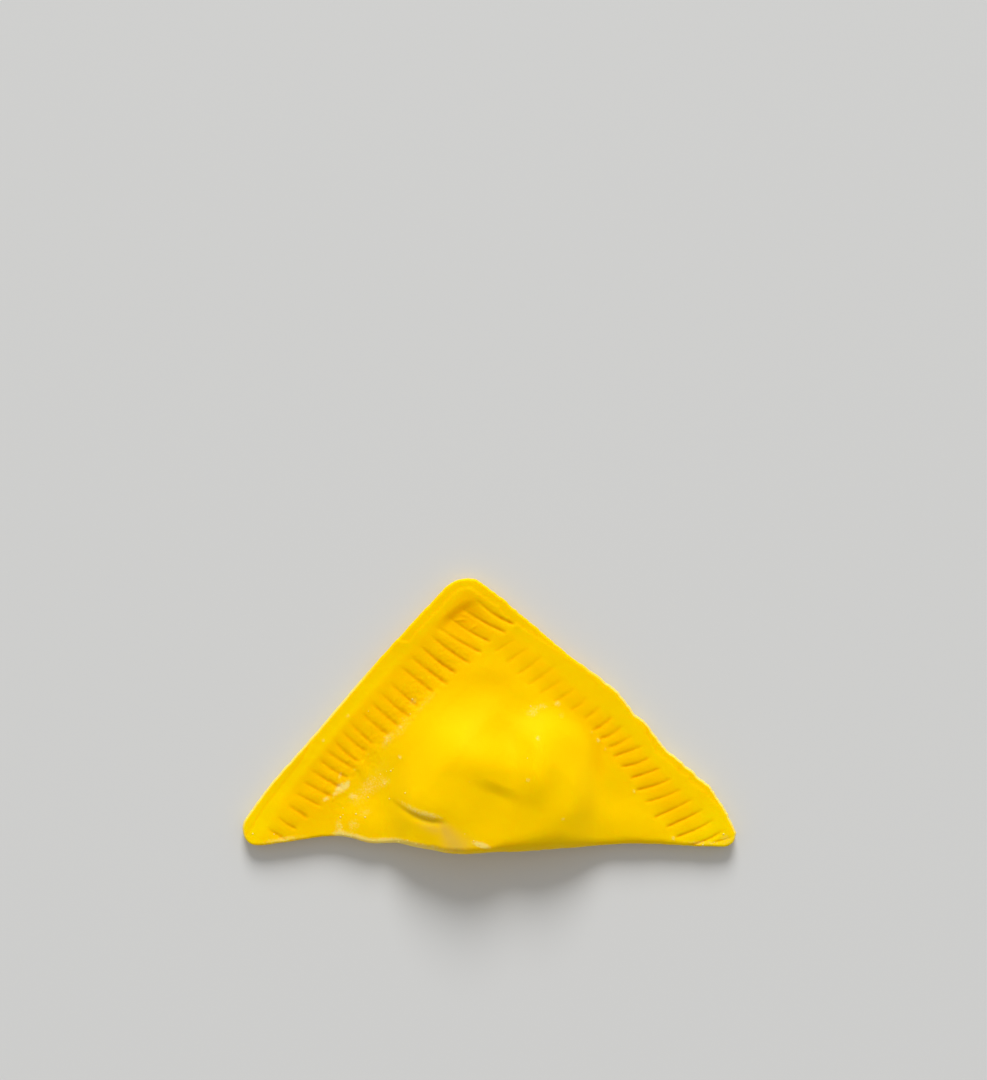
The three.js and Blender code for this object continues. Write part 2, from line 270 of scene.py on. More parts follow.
# Little rucks in the crimped bands and margins, in the same terms.
RUCKS = (
    ((-8.1, 27.2), (1.5, 0.4), 8, 0.16),
    ((-4.3, 25.1), (1.3, 0.35), 30, 0.14),
    ((-6.9, 28.6), (0.9, 0.4), -25, 0.1),
    ((-37.1, -14.0), (4.2, 1.3), -55, 0.35),
    ((-57.0, -28.0), (8.0, 3.6), 47.5, 0.28),
    ((-29.0, -0.5), (9.0, 6.0), 50, 0.25),
    ((-33.0, -9.5), (3.0, 1.2), -50, 0.2),
)

# The saddle between the two humps runs down the crown: its line, reach, depth and where it starts.
SADDLE_AT, SADDLE_REACH, SADDLE_DEPTH, SADDLE_STARTS = 6.5, 6.5, 1.9, (8, -6)

# The dent across the crown is a short step down towards the fold: middle, turn, reach and drop.
DENT_AT, DENT_TURN = Vector((2.8, -21.4)), math.radians(-22)
DENT_REACH, DENT_DROP, DENT_SLOPE, DENT_FADE = 5.4, 0.95, (2.1, -1.9), (-18, -6)


def lump_rise(x, y, at, reach, turn, rise):
    return rise * np.exp(-(oval(x, y, at, reach, turn) ** LUMP_EDGE))


def mound(x, y):
    """Height of the top sheet before it is creased and crimped."""
    left, _ = arm_inset("left", x, y)
    right, _ = arm_inset("right", x, y)
    loose = smooth(0, SLACK_REACH, left - LEFT_BAND) * smooth(0, SLACK_REACH, right - RIGHT_BAND)
    west = between((smooth(*WEST_FLANK, x), smooth(*WEST_SHOULDER, x)), SHOULDER)
    east = between((smooth(*EAST_FLANK, x), smooth(*EAST_SHOULDER, x)), SHOULDER)
    flanks = smooth(*LEFT_FLANK, left) * smooth(*RIGHT_FLANK, right)
    flanks = flanks * west * (1 - east) * smooth(*NORTH_FLANK, y)
    sunk = FOLD_SINK * np.maximum(0, (CREST - y) / CREST_TO_FOLD) ** SINK_CURVE
    lumps = sum(lump_rise(x, y, *lump) for lump in LUMPS)
    hollow = SADDLE_DEPTH * bump(x - SADDLE_AT, SADDLE_REACH) * smooth(*SADDLE_STARTS, y) + dent(x, y)
    return SEAM_TOP + MOUND_RISE * flanks * (1 - sunk) + loose * (SLACK + lumps - hollow)


def dent(x, y):
    """Drop of the dough below the dent's line."""
    along, across = along_and_across(x, y, DENT_AT, math.cos(DENT_TURN), math.sin(DENT_TURN))
    return DENT_DROP * bump(along, DENT_REACH) * window(DENT_SLOPE, DENT_FADE, across)


# ---------------------------------------------------------------- crease and wall

# The crease under the left lobe is an arc: its middle, its radius, where it starts, is deepest and
# ends, the height of its lip and the depth of the cut under the lip.
CREASE_AT, CREASE_RADIUS = Vector((-10.7, -4.8)), 25.3
CREASE_STARTS, CREASE_DEEP, CREASE_ENDS = math.radians(222), math.radians(256), math.radians(271)
CREASE_LIP, CREASE_CUT = 0.42, 0.55
LIP_RISES, LIP_FADES = (-0.5, 1.3), (9, 2)
CUT_INSET, CUT_REACH_IN, CUT_REACH_OUT = -0.3, 0.4, 1.2
CUT_FLOUR, LIP_FLOUR, LIP_FLOUR_INSET, LIP_FLOUR_REACH = 0.25, 0.8, 1.1, 0.8

# The curved wall inside the apex's margin is an arc too: its middle, radius and drop, the turns
# between which it stands, and the stretches over which it drops and then fades further in.
WALL_AT, WALL_RADIUS, WALL_DROP = Vector((1.7, 14.2)), 20.0, 0.6
WALL_TURNS = tuple(math.radians(turn) for turn in (98, 120, 134, 150))
WALL_DROPS, WALL_FADES = (0.5, -2.3), (-16.0, -2.6)
# Painted shade at the foot of the wall: its strength, how far in it lies and its reach.
WALL_SHADE, WALL_SHADE_IN, WALL_SHADE_REACH = 0.85, 1.3, 1.5


def crease_places(x, y):
    """How far inside the crease's arc points lie, and how strong the crease is there."""
    dx, dy = x - CREASE_AT.x, y - CREASE_AT.y
    turn = np.arctan2(dy, dx) % (2 * math.pi)
    strength = window((CREASE_STARTS, CREASE_DEEP), (CREASE_ENDS, CREASE_DEEP), turn)
    return CREASE_RADIUS - np.hypot(dx, dy), strength


def crease_cut(inside):
    """The cut's section, which is steep under the lip and eases off towards the fold."""
    from_cut = inside - CUT_INSET
    return bump(from_cut, np.where(from_cut > 0, CUT_REACH_IN, CUT_REACH_OUT))


def crease_rise(x, y):
    """Rise of the crease's lip, and fall of the cut under it."""
    inside, strength = crease_places(x, y)
    return strength * (CREASE_LIP * window(LIP_RISES, LIP_FADES, inside) - CREASE_CUT * crease_cut(inside))


def crease_dust(x, y):
    """Flour caught in the crease's cut and on its lip."""
    inside, strength = crease_places(x, y)
    on_lip = bump(inside - LIP_FLOUR_INSET, LIP_FLOUR_REACH)
    return strength * (CUT_FLOUR * crease_cut(inside) + LIP_FLOUR * on_lip)


def wall_places(x, y):
    """How far outside the wall's arc points lie, and how strong the wall is there."""
    dx, dy = x - WALL_AT.x, y - WALL_AT.y
    start, full, last, end = WALL_TURNS
    return np.hypot(dx, dy) - WALL_RADIUS, window((start, full), (end, last), np.arctan2(dy, dx))


def wall_drop(x, y):
    """Drop from the apex's margin to where its marks start."""
    far, strength = wall_places(x, y)
    return WALL_DROP * strength * window(WALL_DROPS, WALL_FADES, far)


def wall_shade(x, y):
    """Painted shade: a deeper colour at the foot of the wall, where its shade falls."""
    far, strength = wall_places(x, y)
    return WALL_SHADE * strength * bump(far + WALL_SHADE_IN, WALL_SHADE_REACH)


# ---------------------------------------------------------------- fork marks


class Press(NamedTuple):
    """One press of the fork. A pair gives its first mark's value and its last one's."""

    first: float  # station of the first mark
    gap: float  # from mark to mark
    count: int  # how many marks land on the dough
    inset: tuple  # how far in from the arm's edge the marks start
    length: tuple
    lean: tuple  # towards the apex, in degrees
    depth: tuple
    bow: tuple  # how far the marks curve


class Mark(NamedTuple):
    """One fork mark, and how much flour its inner end holds."""

    arm: str
    outer: Vector
    inner: Vector
    deep: float
    wide: float
    wander: float
    bowed: float
    floured: float


PRESSES = {
    "left": (
        Press(11.9, 4.3, 3, (6.7, 7.1), (5.6, 6.9), (8, 7), (0.65, 0.65), (0.2, 0.1)),
        Press(24.4, 3.83, 4, (6.2, 5.6), (8.6, 10.1), (15, 9), (0.7, 0.75), (0.1, 0.3)),
        Press(39.2, 3.4, 4, (5.6, 5.3), (9.7, 10.0), (6, -2), (0.8, 0.75), (0.3, 0.2)),
        Press(53.7, 3.87, 4, (6.4, 7.1), (10.5, 10.7), (2, 3), (0.75, 0.85), (0.2, 0.2)),
        Press(70.8, 4.17, 4, (6.3, 6.4), (12.2, 14.4), (2, 5), (0.95, 1.05), (0.2, 0.3)),
        Press(86.4, 4.4, 4, (5.6, 9.0), (15.5, 13.0), (9, 10), (0.95, 0.85), (0.4, 0.7)),
    ),
    "right": (
        Press(25.1, 4.5, 4, (7.4, 5.2), (6.4, 9.4), (13, 8), (0.35, 0.45), (-0.1, -0.2)),
        Press(42.8, 4.4, 4, (7.2, 5.7), (7.0, 4.9), (11, 8), (0.45, 0.65), (-0.1, -0.1)),
        Press(60.5, 3.9, 4, (5.1, 5.1), (6.2, 8.0), (9, 23), (0.8, 0.9), (-0.3, -0.3)),
        Press(76.1, 4.2, 4, (5.6, 5.2), (8.3, 10.9), (25, 25), (0.9, 0.85), (-0.3, -0.2)),
        Press(93.0, 4.1, 4, (4.6, 3.4), (11.8, 11.6), (19, 23), (0.85, 0.8), (-0.2, -0.4)),
        Press(108.1, 4.1, 1, (2.6, 2.6), (5.1, 5.1), (29, 29), (0.5, 0.5), (-0.2, -0.2)),
    ),
}

# How the marks of a press differ from one another, in the order in which they are drawn.
MARKS_SEED = 11
TURN_STRAYS = 1.5  # degrees
LENGTH_VARIES, DEPTH_VARIES, WIDTH_VARIES = (0.95, 1.04), (0.85, 1.15), (0.8, 1.3)
WANDER = 0.15
DAB_VARIES = (-0.5, 1.0)
BOW_STRAYS = 0.2

# The right arm's marks hold dabs of flour from a station on, and the others a share of that.
# The curve draws each dab in towards its middle.
FLOURED_FROM, LESS_FLOURED, DAB_CURVE = 58.0, 0.3, 1.5

CORE_DEPTH, CORE_WIDTH = 0.25, {"left": 0.35, "right": 0.27}
VALLEY_DEPTH, VALLEY_WIDTH = 0.15, {"left": 0.78, "right": 0.62}
HOLLOW_DEPTH, HOLLOW_WIDTH, HOLLOW_STARTS, HOLLOW_ENDS = 0.1, 2.0, (-1.5, 3.0), (1.6, -2.2)
RIDGE_RISE, RIDGE_AT, RIDGE_REACH, RIDGE_WIDTH = 0.06, 0.7, 0.6, 0.8
# Where a mark sets in after its outer end: millimetres, and share of its length.
SETS_IN = {"left": (-0.8, 0.25), "right": (-1.2, 0.14)}
MARK_ENDS = (0.8, -1.5)  # past its inner end, where it is 0 and where it is full
OUTER_DEPTH = 0.55  # share of its depth that a mark has at its outer end
WANDER_WAVE, WANDER_PHASE = 3.4, 9
# The marks' colour is painted shade: a deeper orange in their cores and valleys, where their shade falls.
SHADED_VALLEY = 0.65  # how much of the marks' colour their soft valleys take
BREAKS, BREAK_SIZE, BREAK_SEED = 0.5, 1.5, 15.2


def tine_mark(draw, arm, press, i):
    """One mark of a press, from near the edge inwards."""
    along, inward = arm_ways(arm)
    share = i / max(press.count - 1, 1)
    station = press.first + i * press.gap
    outer = ARMS[arm][0] + along * station
    outer += inward * (between(press.inset, share) - float(arm_bow(arm, station)))
    towards_apex = 1 if arm == "left" else -1
    turn = towards_apex * between(press.lean, share) + draw.uniform(-TURN_STRAYS, TURN_STRAYS)
    way = inward.copy()
    way.rotate(Matrix.Rotation(math.radians(turn), 2))
    long = between(press.length, share) * draw.uniform(*LENGTH_VARIES)
    deep = between(press.depth, share) * draw.uniform(*DEPTH_VARIES)
    wide = draw.uniform(*WIDTH_VARIES)
    wander = draw.uniform(-WANDER, WANDER)
    floured = max(draw.uniform(*DAB_VARIES), 0.0)
    if arm == "left" or station < FLOURED_FROM:
        floured *= LESS_FLOURED
    bowed = between(press.bow, share) + draw.uniform(-BOW_STRAYS, BOW_STRAYS)
    return Mark(arm, outer, outer + way * long, deep, wide, wander, bowed, floured)


def tine_marks():
    """Every fork mark, arm by arm and press by press."""
    draw = random.Random(MARKS_SEED)
    return [
        tine_mark(draw, arm, press, i)
        for arm, presses in PRESSES.items()
        for press in presses
        for i in range(press.count)
    ]


def tine_press(x, y, mark):
    """One mark: its thin core, its soft valley, the hollow about both, and the ridge at its end."""
    way = mark.inner - mark.outer
    long = way.length
    way.normalize()
    u, v = along_and_across(x, y, mark.outer, way.x, way.y)
    share, past_end = np.clip(u / long, 0, 1), u - long
    v = v - mark.wander * np.sin(WANDER_WAVE * share + WANDER_PHASE * mark.wander)
    v = v + mark.bowed * 4 * share * (1 - share)
    starts, full = SETS_IN[mark.arm]
    grows = between((OUTER_DEPTH, 1.0), smooth(0, long, u))
    deep = mark.deep * grows * window((starts, full * long), (long + MARK_ENDS[0], long + MARK_ENDS[1]), u)
    core = deep * bump(v, CORE_WIDTH[mark.arm] * mark.wide)
    valley = deep * bump(v, VALLEY_WIDTH[mark.arm])
    hollow = mark.deep * smooth(*HOLLOW_STARTS, u) * smooth(*HOLLOW_ENDS, past_end) * bump(v, HOLLOW_WIDTH)
    ridge = mark.deep * bump(past_end - RIDGE_AT, RIDGE_REACH) * bump(v, RIDGE_WIDTH)
    return core, valley, hollow, ridge


def crimps(x, y):
    """How far the fork presses the top sheet down, how strongly points take the marks' painted shade, and the
    marks' flour.
    """
    core, valley, hollow, ridge, dust = np.zeros((5, len(x)))
    for mark in tine_marks():
        parts = tine_press(x, y, mark)
        core, valley, hollow, ridge = (
            np.maximum(whole, part) for whole, part in zip((core, valley, hollow, ridge), parts)
        )
        dust = np.maximum(dust, mark.floured * (parts[-1] / mark.deep) ** DAB_CURVE)
    broken = 1 + BREAKS * rough(x, y, BREAK_SIZE, BREAK_SEED)
    core = core * broken
    pressed = CORE_DEPTH * core + VALLEY_DEPTH * valley + HOLLOW_DEPTH * hollow - RIDGE_RISE * ridge
    return pressed, np.maximum(core, SHADED_VALLEY * valley * broken), dust


# ---------------------------------------------------------------- flour

# Patches of flour on the dough: middle, reach along and across, turn in degrees, strength.
FLOUR_PATCHES = (
    ((-41.8, -20.7), (1.5, 1.1), 35, 1.5),
    ((-43.6, -22.5), (0.9, 0.6), 30, 0.6),
    ((-40.0, -19.6), (0.6, 1.0), -10, 0.9),
    ((-46.2, -23.9), (1.0, 0.6), 15, 1.0),
    ((-38.5, -23.1), (1.0, 0.8), 0, 0.6),
    ((-42.3, -17.4), (0.5, 1.3), -20, 0.5),
    ((-33.7, -20.6), (3.4, 2.4), 20, 0.34),
    ((-29.0, -7.3), (1.0, 2.0), -30, 0.45),
    ((-25.1, -12.1), (0.5, 0.5), 0, 1.0),
    ((-21.6, 3.9), (0.8, 1.3), -40, 0.5),
    ((-40.3, -0.4), (0.6, 0.6), 0, 0.6),
    ((-47.2, -7.3), (0.6, 0.6), 0, 0.6),
    ((-42.3, -31.9), (1.2, 2.6), 8, 0.5),
    ((-38.2, -31.2), (1.8, 1.7), 30, 0.45),
    ((-34.6, -27.6), (2.6, 1.3), 30, 0.3),
    ((-29.1, -19.2), (1.3, 1.2), 0, 0.4),
    ((-37.5, -24.6), (3.4, 2.6), 0, 0.22),
    ((12.6, 0.6), (2.0, 1.5), 35, 0.5),
    ((15.6, 2.3), (1.5, 0.9), 0, 0.45),
    ((19.7, 3.1), (0.9, 0.9), 0, 0.7),
    ((20.9, -0.2), (1.0, 1.2), 0, 0.3),
    ((14.0, -6.9), (0.6, 0.6), 0, 0.8),
    ((11.1, -18.6), (0.6, 0.5), 0, 0.8),
    ((20.9, -29.4), (0.6, 0.6), 0, 0.6),
    ((-1.9, -36.5), (1.9, 0.62), -16, 2.4),
    ((-31.0, -16.0), (3.0, 7.0), -35, 0.2),
    ((-24.5, -3.5), (2.2, 6.5), -42, 0.27),
    ((-17.0, 4.5), (1.5, 4.0), -42, 0.22),
    ((60.5, -36.2), (6.0, 0.6), -2, 0.45),
    ((67.5, -35.2), (2.2, 1.6), -30, 0.35),
    ((-58.0, -35.3), (6.0, 0.8), 8, 0.6),
)

# Flour rubbed along the fold: where it starts, is full and ends along x, how far in from the
# edge it reaches, and how strong it is.
FOLD_FLOUR, FOLD_FLOUR_REACH, FOLD_FLOUR_STRENGTH = (-46, -41, -24, -2), (2.2, 0.2), 1.5

# Painted shadow under the crease, and the smear from the crease to the fold: painted shade, paler with a
# little flour.
OVERHUNG_SHADOW = ((-15.5, -32.0), (3.2, 1.2), -20, 0.6)
WEDGE_FROM, WEDGE_TO, WEDGE_WIDTH = Vector((-13.4, -30.4)), Vector((-8.0, -38.4)), (1.0, 3.5)
WEDGE_STARTS, WEDGE_ENDS = (-0.15, 0.25), (1.2, 0.9)


def patch_dust(x, y, at, reach, turn, strength):
    return strength * bump(oval(x, y, at, reach, turn), 1)


def fold_dust(x, from_edge):
    """Flour along the fold, by places and how far in from its edge they lie."""
    start, full, last, end = FOLD_FLOUR
    there = window((start, full), (end, last), x) * smooth(*FOLD_FLOUR_REACH, from_edge)
    return FOLD_FLOUR_STRENGTH * there


def smear_and_shade(x, y):
    """Painted shade with a little flour below the crease's end, and painted shadow on the strip that the
    crease overhangs.
    """
    way = WEDGE_TO - WEDGE_FROM
    long = way.length
    way.normalize()
    along, across = along_and_across(x, y, WEDGE_FROM, way.x, way.y)
    share = along / long
    wide = between(WEDGE_WIDTH, np.clip(share, 0, 1))
    wedge = window(WEDGE_STARTS, WEDGE_ENDS, share) * bump(across, wide)
    return np.maximum(wedge, patch_dust(x, y, *OVERHUNG_SHADOW))


# ---------------------------------------------------------------- edges

TOP_INSET, TOP_INSET_REACH = 0.75, 2.6  # how far in the top's rim lies, and how far that is felt
EDGE_ROUND, EDGE_ROUND_REACH = 0.09, 0.5  # how the top sheet's edge is rounded off
LAYER_STEP = 0.22  # drop from the top sheet's edge to the bottom sheet where that one shows
TIP_LAYER_STEP = 0.5  # share of that drop by the left tip

# The edge in section, from the top down: how far in, and share of the top's height. The sealed
# one shows both sheets with their seam, and the single one the bottom sheet alone.
SEALED = (
    (0.42, 0.965), (0.15, 0.905), (0.02, 0.83), (0.0, 0.74), (0.07, 0.655), (0.28, 0.58), (0.46, 0.525),
    (0.34, 0.47), (0.08, 0.41), (0.0, 0.33), (0.02, 0.23), (0.15, 0.13), (0.45, 0.05), (1.0, 0.012),
    (2.2, 0.0), (3.4, 0.0),
)
SINGLE = (
    (0.42, 0.95), (0.16, 0.86), (0.03, 0.75), (0.0, 0.66), (0.0, 0.6), (0.0, 0.55), (0.0, 0.5),
    (0.0, 0.45), (0.0, 0.39), (0.01, 0.32), (0.04, 0.24), (0.15, 0.14), (0.45, 0.05), (1.0, 0.012),
    (2.2, 0.0), (3.4, 0.0),
)
FOLD_PROBE = 5.0  # how far in the mound's height by the fold is taken
FOLD_SETS_IN = (-0.2, 0.85)  # by how squarely the edge looks towards the fold
FOLD_ROUNDNESS = (0.17, 0.5)  # of the height, in the west and in the middle of the east
FOLD_CHANGES, FOLD_FLATTENS = (0, 8), (62, 48)
FOLD_TOP_TURN = math.radians(60)
FOLD_SQUARENESS = 3.0  # 2 would be an ellipse
FOLD_INSET_REACH = 3.2  # times the rim's inset

# How far in from the bottom sheet's edge the top sheet's edge lies: everywhere, by the left tip
# and close to it, by the apex, and down the right arm. A pair is where it starts and is full.
STEP_IN = 0.25
TIP_STEP, TIP_STEP_REACH, TIP_STEP_MORE, TIP_STEP_CLOSE = 1.6, (42, 30), 0.8, (17, 7)
APEX_STEP, APEX_STEP_LEFT, APEX_STEP_RIGHT = 2.5, (29, 26.5), (44, 20)
RIGHT_STEP, RIGHT_STEP_BELOW = 0.5, (20, 5)
LOWER_STEP, LOWER_STEP_BELOW, LOWER_STEP_ABOVE = 1.4, (0, -9), (-26, -19)
APEX_PARTS = (-2, 2)  # where the left arm gives way to the right one, in x from the apex

EDGE_JAGS = ((0.4, 2.9, 6.3), (0.22, 1.1, 2.9))  # how far out, size and seed
JAG_SHARES = (0.28, 1.0)  # on the left arm and the fold, and on the right arm
JAG_FADE = 2.5

SIDES = 3  # the left arm, the right arm and the fold, each as long as 1 in s
OUTLINE_SAMPLES = 2400
NEXT = 3  # samples to the neighbours that the way in is worked out from
ONE_SIDE = 1e-4  # a share below this lies on the side itself


def squared(value):
    """A cosine or sine drawn out for the fold's fuller section."""
    return np.sign(value) * np.abs(value) ** (2 / FOLD_SQUARENESS)


def layer_step_in(x, y, folded):
    """How far in from the bottom sheet's edge the top sheet's edge lies."""
    from_left = np.hypot(x - LEFT.x, y - LEFT.y)
    from_apex = np.hypot(x - APEX.x, y - APEX.y)
    on_right = smooth(*APEX_PARTS, x - APEX.x)
    tip = (TIP_STEP + TIP_STEP_MORE * smooth(*TIP_STEP_CLOSE, from_left)) * smooth(*TIP_STEP_REACH, from_left)
    by_apex = smooth(*APEX_STEP_LEFT, from_apex), smooth(*APEX_STEP_RIGHT, from_apex)
    lower = LOWER_STEP * window(LOWER_STEP_BELOW, LOWER_STEP_ABOVE, y)
    right = on_right * (RIGHT_STEP * smooth(*RIGHT_STEP_BELOW, y) + lower)
    return (STEP_IN + tip + APEX_STEP * between(by_apex, on_right) + right) * (1 - folded)


def edge_shares(s):
    """Shares a and b at places s along the outline: the left arm, the right arm, the fold."""
    a = np.where(s < 1, 1 - s, np.where(s < 2, 0, s - 2))
    b = np.where(s < 1, 0, np.where(s < 2, s - 1, SIDES - s))
    return a, b


def edge_places(a, b):
    """Places s along the outline of shares that lie on it."""
    on_left, on_right = b < ONE_SIDE, a < ONE_SIDE
    return np.where(on_left, 1 - a, np.where(on_right, 1 + b, 2 + a)) % SIDES


class Outline:
    """Evenly counted samples round the footprint, with the way in and the section at each."""

    def __init__(self):
        self.count = OUTLINE_SAMPLES
        self.x, self.y = footprint(*edge_shares(np.arange(self.count) * SIDES / self.count))
        dx = np.roll(self.x, -NEXT) - np.roll(self.x, NEXT)
        dy = np.roll(self.y, -NEXT) - np.roll(self.y, NEXT)
        long = np.hypot(dx, dy)
        self.nx, self.ny = dy / long, -dx / long
        self.folded = smooth(*FOLD_SETS_IN, self.ny)
        self.jag = self.jagged()
        self.x = self.x - self.nx * self.jag
        self.y = self.y - self.ny * self.jag
        self.depth = self.fold_depth()
        rolled = self.depth * (1 - squared(math.cos(FOLD_TOP_TURN)))
        self.top_inset = between((TOP_INSET, rolled), self.folded)
        self.step = layer_step_in(self.x, self.y, self.folded)
        self.tree = self.planted()

    def jagged(self):
        """How far the torn edge stands out at each sample."""
        on_right = smooth(*APEX_PARTS, self.x - APEX.x) * (1 - self.folded)
        jag = sum(out * rough(self.x, self.y, size, seed) for out, size, seed in EDGE_JAGS)
        return jag * between(JAG_SHARES, on_right)

    def fold_depth(self):
        """How far in from the edge the fold is round."""
        height = mound(self.x + self.nx * FOLD_PROBE, self.y + self.ny * FOLD_PROBE)
        return between(FOLD_ROUNDNESS, window(FOLD_CHANGES, FOLD_FLATTENS, self.x)) * height

    def planted(self):
        """The tree that finds a place's nearest sample."""
        tree = kdtree.KDTree(self.count)
        for i in range(self.count):
            tree.insert((self.x[i], self.y[i], 0), i)
        tree.balance()
        return tree

    def at(self, s):
        """The nearest sample of each place s along the outline."""
        return np.round(s * self.count / SIDES).astype(int) % self.count

    def nearest(self, x, y):
        """The nearest sample of each place in plan, and how far off it is."""
        found = [self.tree.find((px, py, 0)) for px, py in zip(x, y)]
        return np.array([i for _, i, _ in found]), np.array([far for _, _, far in found])


# ---------------------------------------------------------------- top sheet's relief

# Stretches below are stations along an arm or insets from its edge, from where a thing is 0 to
# where it is full.
LEFT_TIP, RIGHT_TIP, LEFT_TIP_INSET = (26, 10), (92, 104), (8.5, 5)
TIP_ENDS = -50.0  # in x, how far the left tip reaches
SWELLS = ((0.10, 9, 1.3), (0.05, 4, 7.7), (0.018, 1.5, 4.1))  # rise, size and seed

# The low bead inside the left margin: rise, its inset and at which station the second one is
# reached, its reach outwards and inwards, and where it starts and ends.
BEAD, BEAD_INSET, BEAD_LENGTH, BEAD_REACH = 0.17, (4.6, 5.8), 75.0, (1.6, 4.0)
BEAD_STARTS, BEAD_ENDS = (10, 26), (82, 66)

# How far the margins sink below their seams: along the left arm, more at its tip, and on the right.
LEFT_SINK, LEFT_SINK_ENDS, LEFT_SINK_INSET = 0.25, (84, 70), (12, 1)
TIP_SINK, TIP_SINK_ENDS = 0.65, (36, 20)
RIGHT_SINK, RIGHT_SINK_STARTS, RIGHT_SINK_INSET = 0.45, (14, 30), (10, 2.5)
# The right margin swells again a little.
MARGIN_SWELL, MARGIN_SWELL_AT, MARGIN_SWELL_REACH = 0.06, 3.2, 1.8

# The left band is grained: rise, size and seed, and where.
GRAINED, GRAINED_SIZE, GRAINED_SEED = 0.09, 0.9, 21.4
GRAINED_INSET, GRAINED_STATIONS = ((8, 12), (22, 17)), ((20, 35), (95, 80))

# The top sheet's edge: how softly the bottom sheet shows beyond it, from which step on, and how
# wide and strong the line of painted shade along it is, where the crevice under the edge is shaded.
STEP_SOFT, STEP_SHOWS = 0.45, (0.5, 1.1)
STEP_LINE, STEP_SHADE = 0.45, 0.3


class Spots:
    """Points of the top sheet, and where they lie by the arms, the tips and the edge."""

    def __init__(self, x, y, outline, nearest, inset):
        self.x, self.y, self.inset = x, y, inset
        self.left, self.left_station = arm_inset("left", x, y)
        self.right, self.right_station = arm_inset("right", x, y)
        self.left_tip = smooth(*LEFT_TIP, self.left_station)
        self.right_tip = smooth(*RIGHT_TIP, self.right_station)
        self.folded, self.depth = outline.folded[nearest], outline.depth[nearest]
        # By the left tip the top sheet's edge runs on straight down to the fold.
        self.by_tip = x < TIP_ENDS
        self.step = np.where(self.by_tip, layer_step_in(x, y, 0), outline.step[nearest])
        self.past_step = np.where(self.by_tip, self.left, inset) - self.step
        self.stepped = smooth(*STEP_SHOWS, self.step)


def bead(spots):
    """Rise of the low bead inside the left margin."""
    crest = spots.left - between(BEAD_INSET, spots.left_station / BEAD_LENGTH)
    reach = np.where(crest < 0, *BEAD_REACH)
    return BEAD * bump(crest, reach) * window(BEAD_STARTS, BEAD_ENDS, spots.left_station)


def margin_sink(spots):
    """How far the margins sink below their seams."""
    left = LEFT_SINK + TIP_SINK * smooth(*TIP_SINK_ENDS, spots.left_station)
    left = left * smooth(*LEFT_SINK_ENDS, spots.left_station) * smooth(*LEFT_SINK_INSET, spots.left)
    right = RIGHT_SINK * smooth(*RIGHT_SINK_INSET, spots.right)
    return np.maximum(left, right * smooth(*RIGHT_SINK_STARTS, spots.right_station))


def soft_height(spots):
    """Height of the top sheet before the fork is pressed in."""
    x, y = spots.x, spots.y
    z = mound(x, y) + crease_rise(x, y) + sum(lump_rise(x, y, *ruck) for ruck in RUCKS)
    for rise, size, seed in SWELLS:
        z = z + rise * rough(x, y, size, seed)
    swell = MARGIN_SWELL * bump(spots.right - MARGIN_SWELL_AT, MARGIN_SWELL_REACH)
    return z + bead(spots) - margin_sink(spots) + swell - wall_drop(x, y)


def edge_drop(spots):
    """How far the top sheet's edge is rounded, and drops to the bottom sheet beyond it."""
    beyond = smooth(STEP_SOFT, -STEP_SOFT, spots.past_step) * spots.stepped
    rounding = EDGE_ROUND * bump(np.maximum(spots.past_step, 0), EDGE_ROUND_REACH) * (1 - spots.folded)
    step = LAYER_STEP * np.where(spots.by_tip, TIP_LAYER_STEP, 1.0)
    return rounding * (1 - beyond) + step * beyond


def fold_roll(spots):
    """Share of its height that the top keeps where it rolls over into the fold."""
    share = 1 - np.clip(spots.inset / spots.depth, 0, 1)
    rolled = 0.5 + 0.5 * (1 - share**FOLD_SQUARENESS) ** (1 / FOLD_SQUARENESS)
    return 1 - spots.folded * (1 - rolled)


def band_grain(spots):
    """The fine grain of the left band."""
    there = window(*GRAINED_INSET, spots.left) * window(*GRAINED_STATIONS, spots.left_station)
    return GRAINED * rough(spots.x, spots.y, GRAINED_SIZE, GRAINED_SEED) * there


# ---------------------------------------------------------------- where the colours go

# The crimped bands: where they start and end, in from the arms' edges. The left one widens.
LEFT_BAND_STARTS, LEFT_BAND_ENDS, LEFT_BAND_WIDENS, LEFT_BAND_FADE = (3.6, 6.2), (20.0, 25.0), (60, 80), 7
RIGHT_BAND_STARTS, RIGHT_BAND_ENDS = (4.8, 7.3), (16, 10)
BANDS_PART = (0, 6)  # by how much further in from the left arm than from the right one
# How much of the bands' colour the right band takes, at its ends and in its middle.
RIGHT_BAND_SHARES, RIGHT_BAND_MIDDLE = (0.8, 1.3), ((54, 62), (96, 78))

# The deep colour about the apex's marks: middle, reach, strength and inset.
APEX_BAND, APEX_BAND_REACH, APEX_BAND_SHARE, APEX_BAND_INSET = Vector((-6.3, 28.8)), 7.2, 0.6, (4, 7)

# The pale margins: strength and inset, below a height in y on the arms and above one by the apex.
LEFT_PALE, LEFT_PALE_INSET = 0.4, (7, 3.5)
RIGHT_PALE, RIGHT_PALE_INSET = 0.2, (6, 3)
PALE_BELOW, APEX_PALE, PALE_ABOVE = (18, 4), 0.3, (34.5, 36.5)

# The arms' edges are dry and pale below a height in y, to an inset on the top and down the rings
# of the edge to one of them. Flour fades down those rings.
DRY_EDGE, DRY_INSET, DRY_RINGS = (16, 6), (0.75, 0.35), 13
FLOUR_RINGS = (9, 2)
ONLY_BOTTOM = (0.5, 1.2)  # the step from which on the edge is that of the bottom sheet alone
